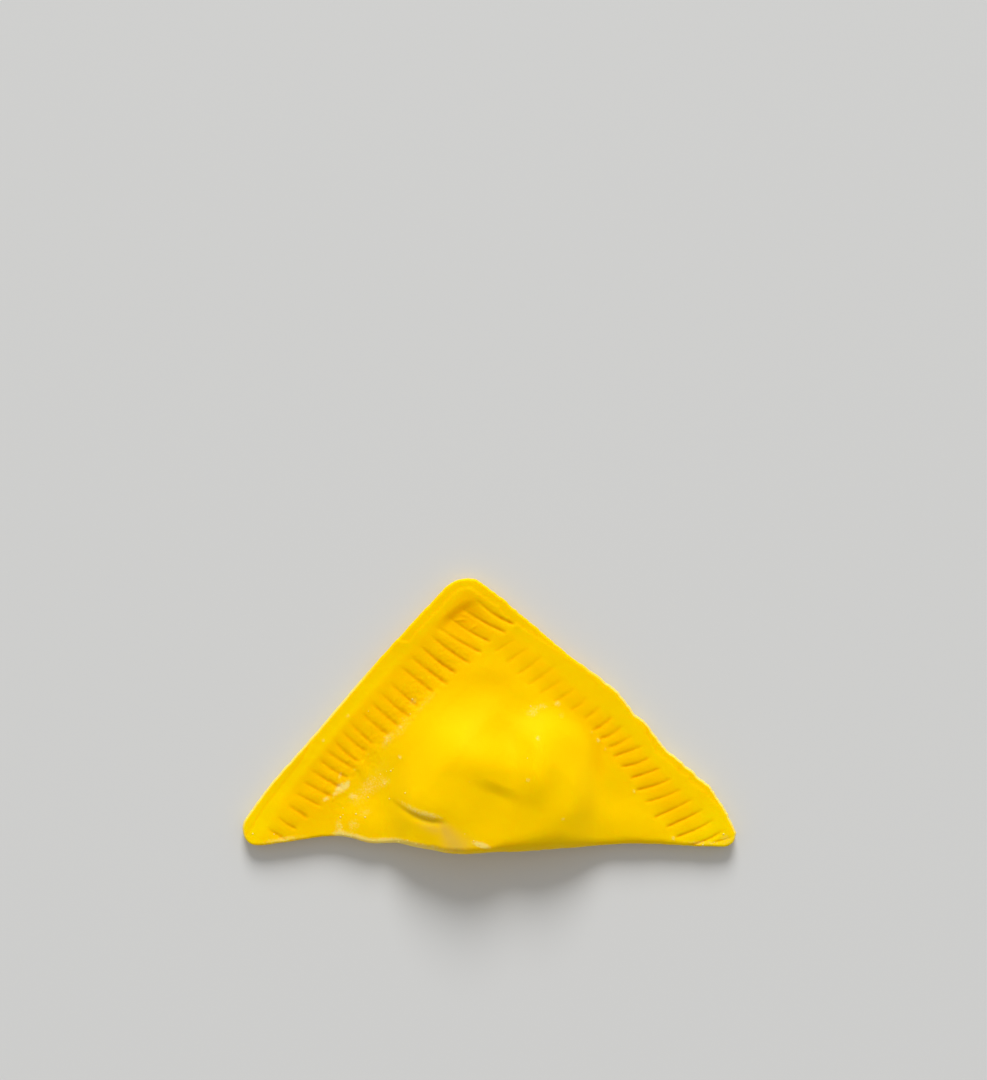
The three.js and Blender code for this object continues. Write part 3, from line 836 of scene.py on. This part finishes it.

# Painted shade: patches where the dough is warmer and darker where shade falls: middle, reach along and
# across, turn in degrees, strength.
PAINTED_SHADE_PATCHES = (
    ((-20.4, -10.4), (6, 6), 0, 0.3),
    ((1.7, 0.5), (9, 9), 0, 0.2),
    ((22.6, -10.4), (5, 5), 0, 0.25),
    ((31.0, -12.0), (2.2, 6.5), 4, 0.8),
    ((-42.5, -30.5), (4.5, 3.0), 0, 0.4),
    ((-34.2, -21.0), (4.0, 2.6), 0, 0.35),
    ((5.0, -36.5), (6.0, 1.6), 0, 0.6),
    ((2.0, 11.0), (9.0, 4.0), 0, 0.6),
    ((-25.0, -2.0), (3.5, 5.5), -40, 0.4),
    ((-45.8, -25.5), (3.0, 3.0), 0, 0.35),
)


def band_mask(spots):
    """The crimped bands along both arms, short of the tips."""
    from_arm = np.minimum(spots.left, spots.right)
    on_right = smooth(*BANDS_PART, spots.left - spots.right)
    ends = between(LEFT_BAND_ENDS, smooth(*LEFT_BAND_WIDENS, spots.left_station))
    left = smooth(*LEFT_BAND_STARTS, from_arm) * smooth(ends, ends - LEFT_BAND_FADE, spots.left)
    right = smooth(*RIGHT_BAND_STARTS, from_arm) * smooth(*RIGHT_BAND_ENDS, spots.right)
    right = right * between(RIGHT_BAND_SHARES, window(*RIGHT_BAND_MIDDLE, spots.right_station))
    return (left * (1 - on_right) + right * on_right) * (1 - np.maximum(spots.left_tip, spots.right_tip))


def apex_tint_and_wall_shade(spots):
    """The deeper colour about the apex's marks, and painted shade at the foot of the wall."""
    far = np.hypot(spots.x - APEX_BAND.x, spots.y - APEX_BAND.y)
    about = bump(far, APEX_BAND_REACH) * smooth(*APEX_BAND_INSET, spots.left)
    return np.maximum(APEX_BAND_SHARE * about, wall_shade(spots.x, spots.y))


def margin_mask(spots):
    """The pale margins, and the paler tips."""
    left = LEFT_PALE * smooth(*LEFT_PALE_INSET, spots.left)
    right = RIGHT_PALE * smooth(*RIGHT_PALE_INSET, spots.right)
    arms = np.maximum(left, right) * smooth(*PALE_BELOW, spots.y)
    pale = np.maximum(arms, APEX_PALE * smooth(*PALE_ABOVE, spots.y)) * (1 - spots.folded)
    tips = np.maximum(spots.left_tip * smooth(*LEFT_TIP_INSET, spots.left), spots.right_tip)
    return np.maximum(pale, tips)


def dust_mask(spots, dabs):
    """All the flour that is rubbed into the top sheet."""
    x, y = spots.x, spots.y
    patches = sum(patch_dust(x, y, *patch) for patch in FLOUR_PATCHES)
    return patches + dabs + crease_dust(x, y) + spots.folded * fold_dust(x, spots.inset)


def top_relief(x, y, outline, nearest, inset):
    """The top sheet's height, and its masks."""
    spots = Spots(x, y, outline, nearest, inset)
    pressed, marks_shade, dabs = crimps(x, y)
    z = (soft_height(spots) - pressed - edge_drop(spots)) * fold_roll(spots) + band_grain(spots)
    # Painted shade along the top sheet's edge, in the marks' colour.
    step_shade_line = STEP_SHADE * bump(spots.past_step, STEP_LINE) * spots.stepped
    return z, {
        # core is painted shade: in the fork marks, and along the top sheet's edge.
        "core": np.maximum(marks_shade, step_shade_line),
        "flour": dust_mask(spots, dabs),
        "seam": band_mask(spots),
        "apex_band_and_wall_shade": apex_tint_and_wall_shade(spots),
        "margin": margin_mask(spots),
        # Painted shade on slopes, in valleys and on the fold.
        "drift_and_shade": sum(patch_dust(x, y, *patch) for patch in PAINTED_SHADE_PATCHES),
        # Painted shade and shadow below the crease, with a little flour.
        "smear_and_shade": smear_and_shade(x, y),
    }


def rim_relief(outline):
    """The top sheet's height and masks on its rim, by the outline's samples."""
    x = outline.x + outline.nx * outline.top_inset
    y = outline.y + outline.ny * outline.top_inset
    return top_relief(x, y, outline, np.arange(outline.count), outline.top_inset)


# ---------------------------------------------------------------- the dough as a mesh

DENSER = 0.35  # how much finer the cells are by the seams than in the middle


def share_spacing(share):
    return share - DENSER * np.sin(2 * math.pi * share) / (2 * math.pi)


def sheet_with_skirt(cells, rings):
    """A flat triangle of cells whose rim is extruded down in rings and closed below."""
    bm = bmesh.new()
    bmesh.ops.create_grid(bm, x_segments=cells, y_segments=cells, size=0.5)
    bmesh.ops.translate(bm, verts=bm.verts, vec=(0.5, 0.5, 0))
    everything = bm.verts[:] + bm.edges[:] + bm.faces[:]
    bmesh.ops.bisect_plane(
        bm, geom=everything, dist=1e-5, plane_co=(0.5, 0.5, 0), plane_no=(1, 1, 0), clear_outer=True
    )
    rim = [edge for edge in bm.edges if edge.is_boundary]
    for _ in range(rings):
        made = bmesh.ops.extrude_edge_only(bm, edges=rim)["geom"]
        lower = [item for item in made if isinstance(item, bmesh.types.BMVert)]
        bmesh.ops.translate(bm, verts=lower, vec=(0, 0, -1))
        rim = [item for item in made if isinstance(item, bmesh.types.BMEdge) and item.is_boundary]
    bmesh.ops.contextual_create(bm, geom=rim)
    bmesh.ops.recalc_face_normals(bm, faces=bm.faces)
    return bm


def drawn_in(x, y, outline):
    """Top points drawn in from the outline to leave room for the edge, with their insets and samples."""
    nearest, far = outline.nearest(x, y)
    room, jag = outline.top_inset[nearest], outline.jag[nearest]
    reach = between((TOP_INSET_REACH, FOLD_INSET_REACH * room), outline.folded[nearest])
    push = room * smooth(reach, 0, far) - jag * smooth(JAG_FADE, 0, far)
    x, y = x + outline.nx[nearest] * push, y + outline.ny[nearest] * push
    return x, y, far + push + jag, nearest


def skirt_places(at, ring, outline, rim_z):
    """Places of the edge's points, by their samples and their rings down from the top's rim."""
    sealed, single = np.array(SEALED)[ring - 1], np.array(SINGLE)[ring - 1]
    section = between((sealed, single), smooth(*ONLY_BOTTOM, outline.step[at])[:, None])
    turn = FOLD_TOP_TURN - (FOLD_TOP_TURN + math.pi / 2) * ring / len(SEALED)
    fold_in = outline.depth[at] * (1 - squared(np.cos(turn)))
    fold_up = (1 + squared(np.sin(turn))) / (1 + squared(math.sin(FOLD_TOP_TURN)))
    far_in = between((section[:, 0], fold_in), outline.folded[at])
    share = between((section[:, 1], fold_up), outline.folded[at])
    return outline.x[at] + outline.nx[at] * far_in, outline.y[at] + outline.ny[at] * far_in, rim_z[at] * share


def shape_dough(bm):
    """Moves the flat sheet's points to the pastry, and gives each its masks."""
    flat = np.array([vert.co for vert in bm.verts])
    a, b = share_spacing(flat[:, 0]), share_spacing(flat[:, 1])
    ring = np.round(-flat[:, 2]).astype(int)
    top, skirt = ring == 0, ring > 0
    outline = Outline()
    x, y = footprint(a, b)
    z = np.zeros_like(x)
    x[top], y[top], inset, nearest = drawn_in(x[top], y[top], outline)
    z[top], top_masks = top_relief(x[top], y[top], outline, nearest, inset)
    rim_z, rim_masks = rim_relief(outline)
    at = outline.at(edge_places(a[skirt], b[skirt]))
    x[skirt], y[skirt], z[skirt] = skirt_places(at, ring[skirt], outline, rim_z)
    for vert, px, py, pz in zip(bm.verts, x, y, z):
        vert.co = (px * MM, py * MM, pz * MM)

    masks = {name: np.zeros(len(x)) for name in (*top_masks, "rim")}
    for name, values in top_masks.items():
        masks[name][top] = values
    dry = smooth(*DRY_EDGE, y)
    masks["rim"][top] = smooth(*DRY_INSET, inset) * (1 - outline.folded[nearest]) * dry[top]
    masks["rim"][skirt] = (1 - outline.folded[at]) * (ring[skirt] <= DRY_RINGS) * dry[skirt]
    masks["flour"][skirt] = rim_masks["flour"][at] * smooth(*FLOUR_RINGS, ring[skirt])
    masks["margin"][skirt] = rim_masks["margin"][at]
    return masks


def add_object(name, bm, masks=None):
    """Makes a smooth object of a bmesh, with its masks as attributes of the points."""
    mesh = bpy.data.meshes.new(name)
    bm.to_mesh(mesh)
    bm.free()
    mesh.polygons.foreach_set("use_smooth", [True] * len(mesh.polygons))
    for mask, values in (masks or {}).items():
        layer = mesh.attributes.new(mask, "FLOAT", "POINT")
        layer.data.foreach_set("value", values.astype(np.float32))
    piece = bpy.data.objects.new(name, mesh)
    bpy.context.scene.collection.objects.link(piece)
    return piece


# ---------------------------------------------------------------- loose flour

PATCH_SPREAD = 0.6  # of a patch's reach
# Grains along the fold: how many to a millimetre, where along it they gather, and how far in.
FOLD_GRAINS, FOLD_GATHERS, FOLD_GRAINS_INSET, FOLD_GRAINS_SPREAD = 0.35, 6, 0.4, 0.6
STREWN_WITHIN, STREWN_TO = (0.03, 0.94), 0.97  # shares of the sheet that strewn grains keep to
GRAIN_WIDTH, GRAIN_HEIGHT = (0.8, 1.4), (0.4, 0.8)  # of its radius
DROPPED_FROM = 0.1  # metres over the floor


def flour_places(draw, settings):
    """Plan places of the loose grains: in the patches, along the fold, and strewn."""
    for at, reach, turn, strength in FLOUR_PATCHES:
        for _ in range(round(settings.grains * strength * reach[0] * reach[1])):
            spot = Vector((draw.gauss(0, PATCH_SPREAD * reach[0]), draw.gauss(0, PATCH_SPREAD * reach[1])))
            spot.rotate(Matrix.Rotation(math.radians(turn), 2))
            yield at[0] + spot.x, at[1] + spot.y
    start, _, _, end = FOLD_FLOUR
    for _ in range(round(settings.grains * (end - start) * FOLD_GRAINS)):
        x = draw.triangular(start, end, start + FOLD_GATHERS)
        yield x, float(fold_line(x)) + FOLD_GRAINS_INSET + abs(draw.gauss(0, FOLD_GRAINS_SPREAD))
    for _ in range(settings.strewn):
        a = draw.uniform(*STREWN_WITHIN)
        x, y = footprint(np.array([a]), np.array([draw.uniform(STREWN_WITHIN[0], STREWN_TO - a)]))
        yield float(x[0]), float(y[0])


def add_grain(bm, place, draw, settings):
    """A small flattened grain, half sunk in the dough."""
    radius = between((settings.small, settings.large), draw.random() ** 2)
    flat = (draw.uniform(*GRAIN_WIDTH), draw.uniform(*GRAIN_WIDTH), draw.uniform(*GRAIN_HEIGHT), 1)
    turned = Matrix.Rotation(draw.uniform(0, math.pi), 4, "Z")
    matrix = Matrix.Translation(place) @ turned @ Matrix.Diagonal(flat)
    bmesh.ops.create_icosphere(bm, subdivisions=1, radius=radius, matrix=matrix)


# ---------------------------------------------------------------- shader maths


class Wire:
    """A shader socket that takes arithmetic: each operator adds a Math node."""

    def __init__(self, sheet, socket):
        self.sheet, self.socket = sheet, socket

    def _math(self, operation, *values):
        return self.sheet.node("ShaderNodeMath", {"operation": operation}, dict(enumerate(values)))

    def __add__(self, other):
        return self._math("ADD", self, other)

    def __sub__(self, other):
        return self._math("SUBTRACT", self, other)

    def __mul__(self, other):
        return self._math("MULTIPLY", self, other)

    def __rsub__(self, other):
        return self._math("SUBTRACT", other, self)

    __radd__ = __add__
    __rmul__ = __mul__

    def over(self, start, end):
        """0 below the start, 1 above the end, smooth between."""
        values = {"Value": self, "From Min": start, "From Max": end}
        return self.sheet.node("ShaderNodeMapRange", {"interpolation_type": "SMOOTHSTEP"}, values)

    def most(self, other):
        return self._math("MAXIMUM", self, other)


class FinishSheet:
    """A material's node tree, filled one node at a time."""

    def __init__(self, name):
        self.material = bpy.data.materials.new(name)
        self.material.use_nodes = True
        self.tree = self.material.node_tree
        self.tree.nodes.clear()

    def node(self, kind, settings=None, sockets=None, out=0):
        made = self.tree.nodes.new(kind)
        for key, value in (settings or {}).items():
            setattr(made, key, value)
        for key, value in (sockets or {}).items():
            if isinstance(value, Wire):
                self.tree.links.new(value.socket, made.inputs[key])
            else:
                made.inputs[key].default_value = value
        return Wire(self, made.outputs[out])

    def mask(self, name):
        return self.node("ShaderNodeAttribute", {"attribute_name": name}, out="Fac")

    def grain(self, size, detail, roughness, seed):
        """Noise from 0 to 1 with features of a size in millimetres."""
        place = self.node("ShaderNodeTexCoord", out="Object")
        moved = self.node("ShaderNodeVectorMath", {"operation": "ADD"}, {0: place, 1: (seed, seed, seed)})
        values = {"Vector": moved, "Scale": 1 / (size * MM), "Detail": detail, "Roughness": roughness}
        return self.node("ShaderNodeTexNoise", None, values, out="Fac")

    def blend(self, share, first, second):
        return self.node("ShaderNodeMix", {"data_type": "RGBA"}, {0: share, 6: first, 7: second}, out=2)

    def finish(self, surface):
        output = self.tree.nodes.new("ShaderNodeOutputMaterial")
        self.tree.links.new(surface.socket, output.inputs["Surface"])
        return self.material


# ---------------------------------------------------------------- finishes

# Noises of the finish: size, detail, roughness and seed.
DRIFT, SPECK, CLUMP, FINE = (12, 2, 0.5, 3.1), (0.6, 2, 0.65, 5.7), (1.7, 2, 0.5, 8.9), (0.8, 3, 0.55, 1.7)

# How much of its colour each mask gives, where it is full.
DRIFT_SHARE, SMEAR_AND_SHADE_SHARE, MARK_SHADE_SHARE, APEX_SHARE, DUST_SHARE, RIM_SHARE = 0.12, 0.85, 0.95, 0.75, 0.75, 0.6
DRIFTS = (0.35, 0.7)  # the stretch of the noise that the colour drifts over

# Flour is clumped, is speckled where it is thin, and closes where it is thick.
CLUMPED = (0.4, 1.2)  # the least of it, and how much the clumps add
SPECKLED, THIN, THICK, CLOSED = 1.3, (0.02, 0.4), (0.6, 1.3), 0.7
DUST_SHOWS = (0.1, 1.1)

SATIN, FLOURED_ROUGHER = 0.5, 0.35
FINE_HEIGHT, FLOUR_BUMPS, BUMP = 0.35, (0.05, 0.6), {"Strength": 0.35, "Distance": 0.00016}
DOUGH_BODY = {
    "Specular IOR Level": 0.12,
    "Specular Tint": (1.0, 0.75, 0.02, 1.0),
    "Subsurface Weight": 0.45,
    "Subsurface Radius": (1.0, 0.5, 0.05),
    "Subsurface Scale": 0.0014,
}
DRY_FLOUR = {"Roughness": 0.9, "Specular IOR Level": 0.1}


def colour(values):
    return (*values, 1.0)


def broken_dust(sheet, flour, speck):
    """How much a point looks floured, from the flour rubbed in there."""
    patchy = flour * (CLUMPED[0] + sheet.grain(*CLUMP) * CLUMPED[1])
    thin = flour.over(*THIN) * (1 - flour.over(*THICK) * CLOSED)
    return (patchy + (speck - 0.5) * SPECKLED * thin).over(*DUST_SHOWS)


def dough_finish(settings):
    """Satin yellow dough that light sinks into, with its marks, bands, margins and flour, and painted shade
    in the marks, by the apex's wall, below the crease and in patches.
    """
    sheet = FinishSheet("raw_yellow_dough")
    core, seam, by_apex, flour, rim, margin, drift_and_shade, smeared_and_shaded = (
        sheet.mask(name)
        for name in ("core", "seam", "apex_band_and_wall_shade", "flour", "rim", "margin", "drift_and_shade", "smear_and_shade")
    )
    drift, speck = sheet.grain(*DRIFT), sheet.grain(*SPECK)
    dust = broken_dust(sheet, flour, speck)
    body = sheet.blend(margin, colour(settings.base), colour(settings.pale))
    # A random drift of tone, and the patches of painted shade, in a warmer colour.
    body = sheet.blend((drift.over(*DRIFTS) * DRIFT_SHARE).most(drift_and_shade), body, colour(settings.drift_and_shade))
    body = sheet.blend(seam, body, colour(settings.band))
    # Painted shade and shadow below the crease.
    body = sheet.blend(smeared_and_shaded * SMEAR_AND_SHADE_SHARE, body, colour(settings.dull))
    # Painted shade in the marks, at the foot of the apex's wall and along the top sheet's edge; a deeper
    # colour about the apex's marks.
    body = sheet.blend((core * MARK_SHADE_SHARE).most(by_apex * APEX_SHARE), body, colour(settings.deep))
    body = sheet.blend(dust * DUST_SHARE, body, colour(settings.flour))
    body = sheet.blend(rim * RIM_SHARE, body, colour(settings.edge))
    height = sheet.grain(*FINE) * FINE_HEIGHT + speck * flour.over(*FLOUR_BUMPS)
    normal = sheet.node("ShaderNodeBump", None, {**BUMP, "Height": height})
    looks = {"Base Color": body, "Roughness": SATIN + dust * FLOURED_ROUGHER, "Normal": normal}
    kind, method = "ShaderNodeBsdfPrincipled", {"subsurface_method": "RANDOM_WALK"}
    return sheet.finish(sheet.node(kind, method, {**DOUGH_BODY, **looks}))


def plain_finish(name, base, looks):
    """One even colour."""
    sheet = FinishSheet(name)
    surface = sheet.node("ShaderNodeBsdfPrincipled", None, {"Base Color": colour(base), **looks})
    return sheet.finish(surface)


# ---------------------------------------------------------------- settings


class DoughSettings(bpy.types.PropertyGroup):
    cells: IntProperty(
        name="Cells", description="Cells of the sheet along each arm", default=380, min=40, max=400
    )
    base: FloatVectorProperty(
        name="Dough", description="Colour of the dough", subtype="COLOR",
        default=(0.945, 0.59, 0.0), min=0, max=1,
    )
    pale: FloatVectorProperty(
        name="Margins", description="Colour of the margins and tips", subtype="COLOR",
        default=(0.97, 0.66, 0.0), min=0, max=1,
    )
    # Painted shade: the colour of the shaded smear and of the shadow under the crease.
    dull: FloatVectorProperty(
        name="Smear", description="Colour of the smear below the crease", subtype="COLOR",
        default=(0.80, 0.50, 0.05), min=0, max=1,
    )
    # Also the colour of the patches of painted shade.
    drift_and_shade: FloatVectorProperty(
        name="Drift", description="Colour that the dough drifts to", subtype="COLOR",
        default=(0.90, 0.50, 0.0), min=0, max=1,
    )
    band: FloatVectorProperty(
        name="Bands", description="Colour of the crimped bands", subtype="COLOR",
        default=(0.97, 0.54, 0.0), min=0, max=1,
    )
    # Painted shade: the deeper orange that stands in for the marks' shade, also used about the apex.
    deep: FloatVectorProperty(
        name="Marks", description="Colour in the fork marks", subtype="COLOR",
        default=(0.925, 0.385, 0.0), min=0, max=1,
    )
    edge: FloatVectorProperty(
        name="Edge", description="Colour of the arms' dry edges", subtype="COLOR",
        default=(0.93, 0.74, 0.22), min=0, max=1,
    )
    flour: FloatVectorProperty(
        name="Flour", description="Colour of floured dough", subtype="COLOR",
        default=(0.93, 0.71, 0.19), min=0, max=1,
    )


class FlourSettings(bpy.types.PropertyGroup):
    grains: IntProperty(
        name="Grains", description="Grains per square millimetre of full patch", default=1, min=1, max=20
    )
    strewn: IntProperty(
        name="Strewn", description="Grains strewn over the whole dough", default=14, min=0, max=1000
    )
    small: FloatProperty(
        name="Small", description="Radius of the smallest grain", subtype="DISTANCE", unit="LENGTH",
        default=0.00009, min=0.00001, max=0.001, precision=5,
    )
    large: FloatProperty(
        name="Large", description="Radius of the largest grain", subtype="DISTANCE", unit="LENGTH",
        default=0.00028, min=0.00001, max=0.001, precision=5,
    )
    seed: IntProperty(name="Seed", description="Start of the random draw", default=21, min=0)
    dry: FloatVectorProperty(
        name="Flour", description="Colour of dry flour", subtype="COLOR",
        default=(0.95, 0.74, 0.18), min=0, max=1,
    )


class StageSettings(bpy.types.PropertyGroup):
    floor: FloatVectorProperty(
        name="Floor", description="Colour of the floor", subtype="COLOR",
        default=(0.62, 0.62, 0.61), min=0, max=1,
    )
    key: FloatProperty(name="Key", description="Strength of the soft key light", default=3.04, min=0)
    key_height: FloatProperty(
        name="Key height", description="Angle of the key over the floor", subtype="ANGLE",
        unit="ROTATION", default=math.radians(31),
    )
    key_side: FloatProperty(
        name="Key side", description="Turn of the key from behind the apex", subtype="ANGLE",
        unit="ROTATION", default=math.radians(0),
    )
    key_spread: FloatProperty(
        name="Key spread", description="How wide the key looks", subtype="ANGLE",
        unit="ROTATION", default=math.radians(28),
    )
    fill: FloatProperty(name="Fill", description="Strength of the light from all round", default=0.48, min=0)


# ---------------------------------------------------------------- stage

FLOOR_HALF, FLOOR_BELOW = 3, 0.0002  # metres
CAMERA_AT = Vector((1.46, 51.05, 0))  # what it looks at, in millimetres
CAMERA_HEIGHT = math.radians(82)  # over the floor
CAMERA_FAR = 0.5  # metres
CAMERA_LENS, CAMERA_SENSOR = 56.9, 36
CAMERA_CLIP = (0.01, 20)  # metres


def lay_floor(settings):
    bm = bmesh.new()
    bmesh.ops.create_grid(bm, x_segments=1, y_segments=1, size=FLOOR_HALF)
    bmesh.ops.translate(bm, verts=bm.verts, vec=(0, 0, -FLOOR_BELOW))
    floor = add_object("floor", bm)
    floor.data.materials.append(plain_finish("pale_floor", settings.floor, {"Roughness": 0.7}))
    return floor


def look_from(holder, way):
    """Turns a lamp or camera to face back along the way that it stands in."""
    holder.rotation_euler = way.to_track_quat("Z", "Y").to_euler()


def hang_key(scene, settings):
    """The soft key light, from behind the apex."""
    key = bpy.data.lights.new("key", "SUN")
    key.energy, key.angle = settings.key, settings.key_spread
    lamp = bpy.data.objects.new("key", key)
    up, side = settings.key_height, settings.key_side
    look_from(lamp, Vector((math.sin(side) * math.cos(up), math.cos(side) * math.cos(up), math.sin(up))))
    scene.collection.objects.link(lamp)


def light_room(scene, settings):
    """The even light from all round."""
    world = bpy.data.worlds.new("soft_room")
    world.use_nodes = True
    background = world.node_tree.nodes["Background"]
    background.inputs["Color"].default_value = (1, 1, 1, 1)
    background.inputs["Strength"].default_value = settings.fill
    scene.world = world


def set_camera(scene):
    """The camera, almost straight above and a little towards the fold."""
    camera = bpy.data.cameras.new("camera")
    camera.lens, camera.sensor_width = CAMERA_LENS, CAMERA_SENSOR
    camera.clip_start, camera.clip_end = CAMERA_CLIP
    holder = bpy.data.objects.new("camera", camera)
    back = Vector((0, -math.cos(CAMERA_HEIGHT), math.sin(CAMERA_HEIGHT)))
    holder.location = CAMERA_AT * MM + back * CAMERA_FAR
    look_from(holder, back)
    scene.collection.objects.link(holder)
    scene.camera = holder
    scene.view_settings.view_transform = "Standard"
    scene.view_settings.look = "None"


# ---------------------------------------------------------------- operators


class SAMOSA_OT_dough(bpy.types.Operator):
    """Shapes the folded and crimped dough in place of the plain solid"""

    bl_idname = "samosa.dough"
    bl_label = "Dough"

    def execute(self, context):
        settings = context.scene.samosa_dough
        bm = sheet_with_skirt(settings.cells, len(SEALED))
        masks = shape_dough(bm)
        piece = add_object("folded_dough", bm, masks)
        piece.data.materials.append(dough_finish(settings))
        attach(piece, BODY)
        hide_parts("samosa")
        return {"FINISHED"}


class SAMOSA_OT_flour(bpy.types.Operator):
    """Strews grains of loose flour over the dough"""

    bl_idname = "samosa.flour"
    bl_label = "Flour"

    def execute(self, context):
        settings = context.scene.samosa_flour
        draw = random.Random(settings.seed)
        dough = bpy.data.objects["folded_dough"]
        bm = bmesh.new()
        for x, y in flour_places(draw, settings):
            hit, place, _, _ = dough.ray_cast(Vector((x * MM, y * MM, DROPPED_FROM)), Vector((0, 0, -1)))
            if hit:
                add_grain(bm, place, draw, settings)
        piece = add_object("loose_flour", bm)
        piece.data.materials.append(plain_finish("dry_flour", settings.dry, DRY_FLOUR))
        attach(piece, BODY)
        return {"FINISHED"}


class SAMOSA_OT_stage(bpy.types.Operator):
    """Sets out the floor, the lights and the camera"""

    bl_idname = "samosa.stage"
    bl_label = "Stage"

    def execute(self, context):
        scene, settings = context.scene, context.scene.samosa_stage
        floor = lay_floor(settings)
        hang_key(scene, settings)
        light_room(scene, settings)
        set_camera(scene)
        return {"FINISHED"}


class SAMOSA_PT_parts(bpy.types.Panel):
    """Lists what makes up the samosa"""

    bl_idname = "SAMOSA_PT_parts"
    bl_label = "Samosa"
    bl_space_type = "VIEW_3D"
    bl_region_type = "UI"
    bl_category = "Samosa"

    def draw(self, context):
        for group, operator in PARTS:
            box = self.layout.box()
            settings = getattr(context.scene, group)
            for name in settings.__annotations__:
                box.prop(settings, name)
            box.operator(operator.bl_idname)


PARTS = (
    ("samosa_dough", SAMOSA_OT_dough),
    ("samosa_flour", SAMOSA_OT_flour),
    ("samosa_stage", SAMOSA_OT_stage),
)
CLASSES = (
    DoughSettings,
    FlourSettings,
    StageSettings,
    SAMOSA_OT_dough,
    SAMOSA_OT_flour,
    SAMOSA_OT_stage,
    SAMOSA_PT_parts,
)


def register():
    for cls in CLASSES:
        bpy.utils.register_class(cls)
    bpy.types.Scene.samosa_dough = PointerProperty(type=DoughSettings)
    bpy.types.Scene.samosa_flour = PointerProperty(type=FlourSettings)
    bpy.types.Scene.samosa_stage = PointerProperty(type=StageSettings)


def unregister():
    del bpy.types.Scene.samosa_stage
    del bpy.types.Scene.samosa_flour
    del bpy.types.Scene.samosa_dough
    for cls in reversed(CLASSES):
        bpy.utils.unregister_class(cls)


def main():
    register()
    bpy.ops.samosa.dough()
    bpy.ops.samosa.flour()
    bpy.ops.samosa.stage()


if __name__ == "__main__":
    main()
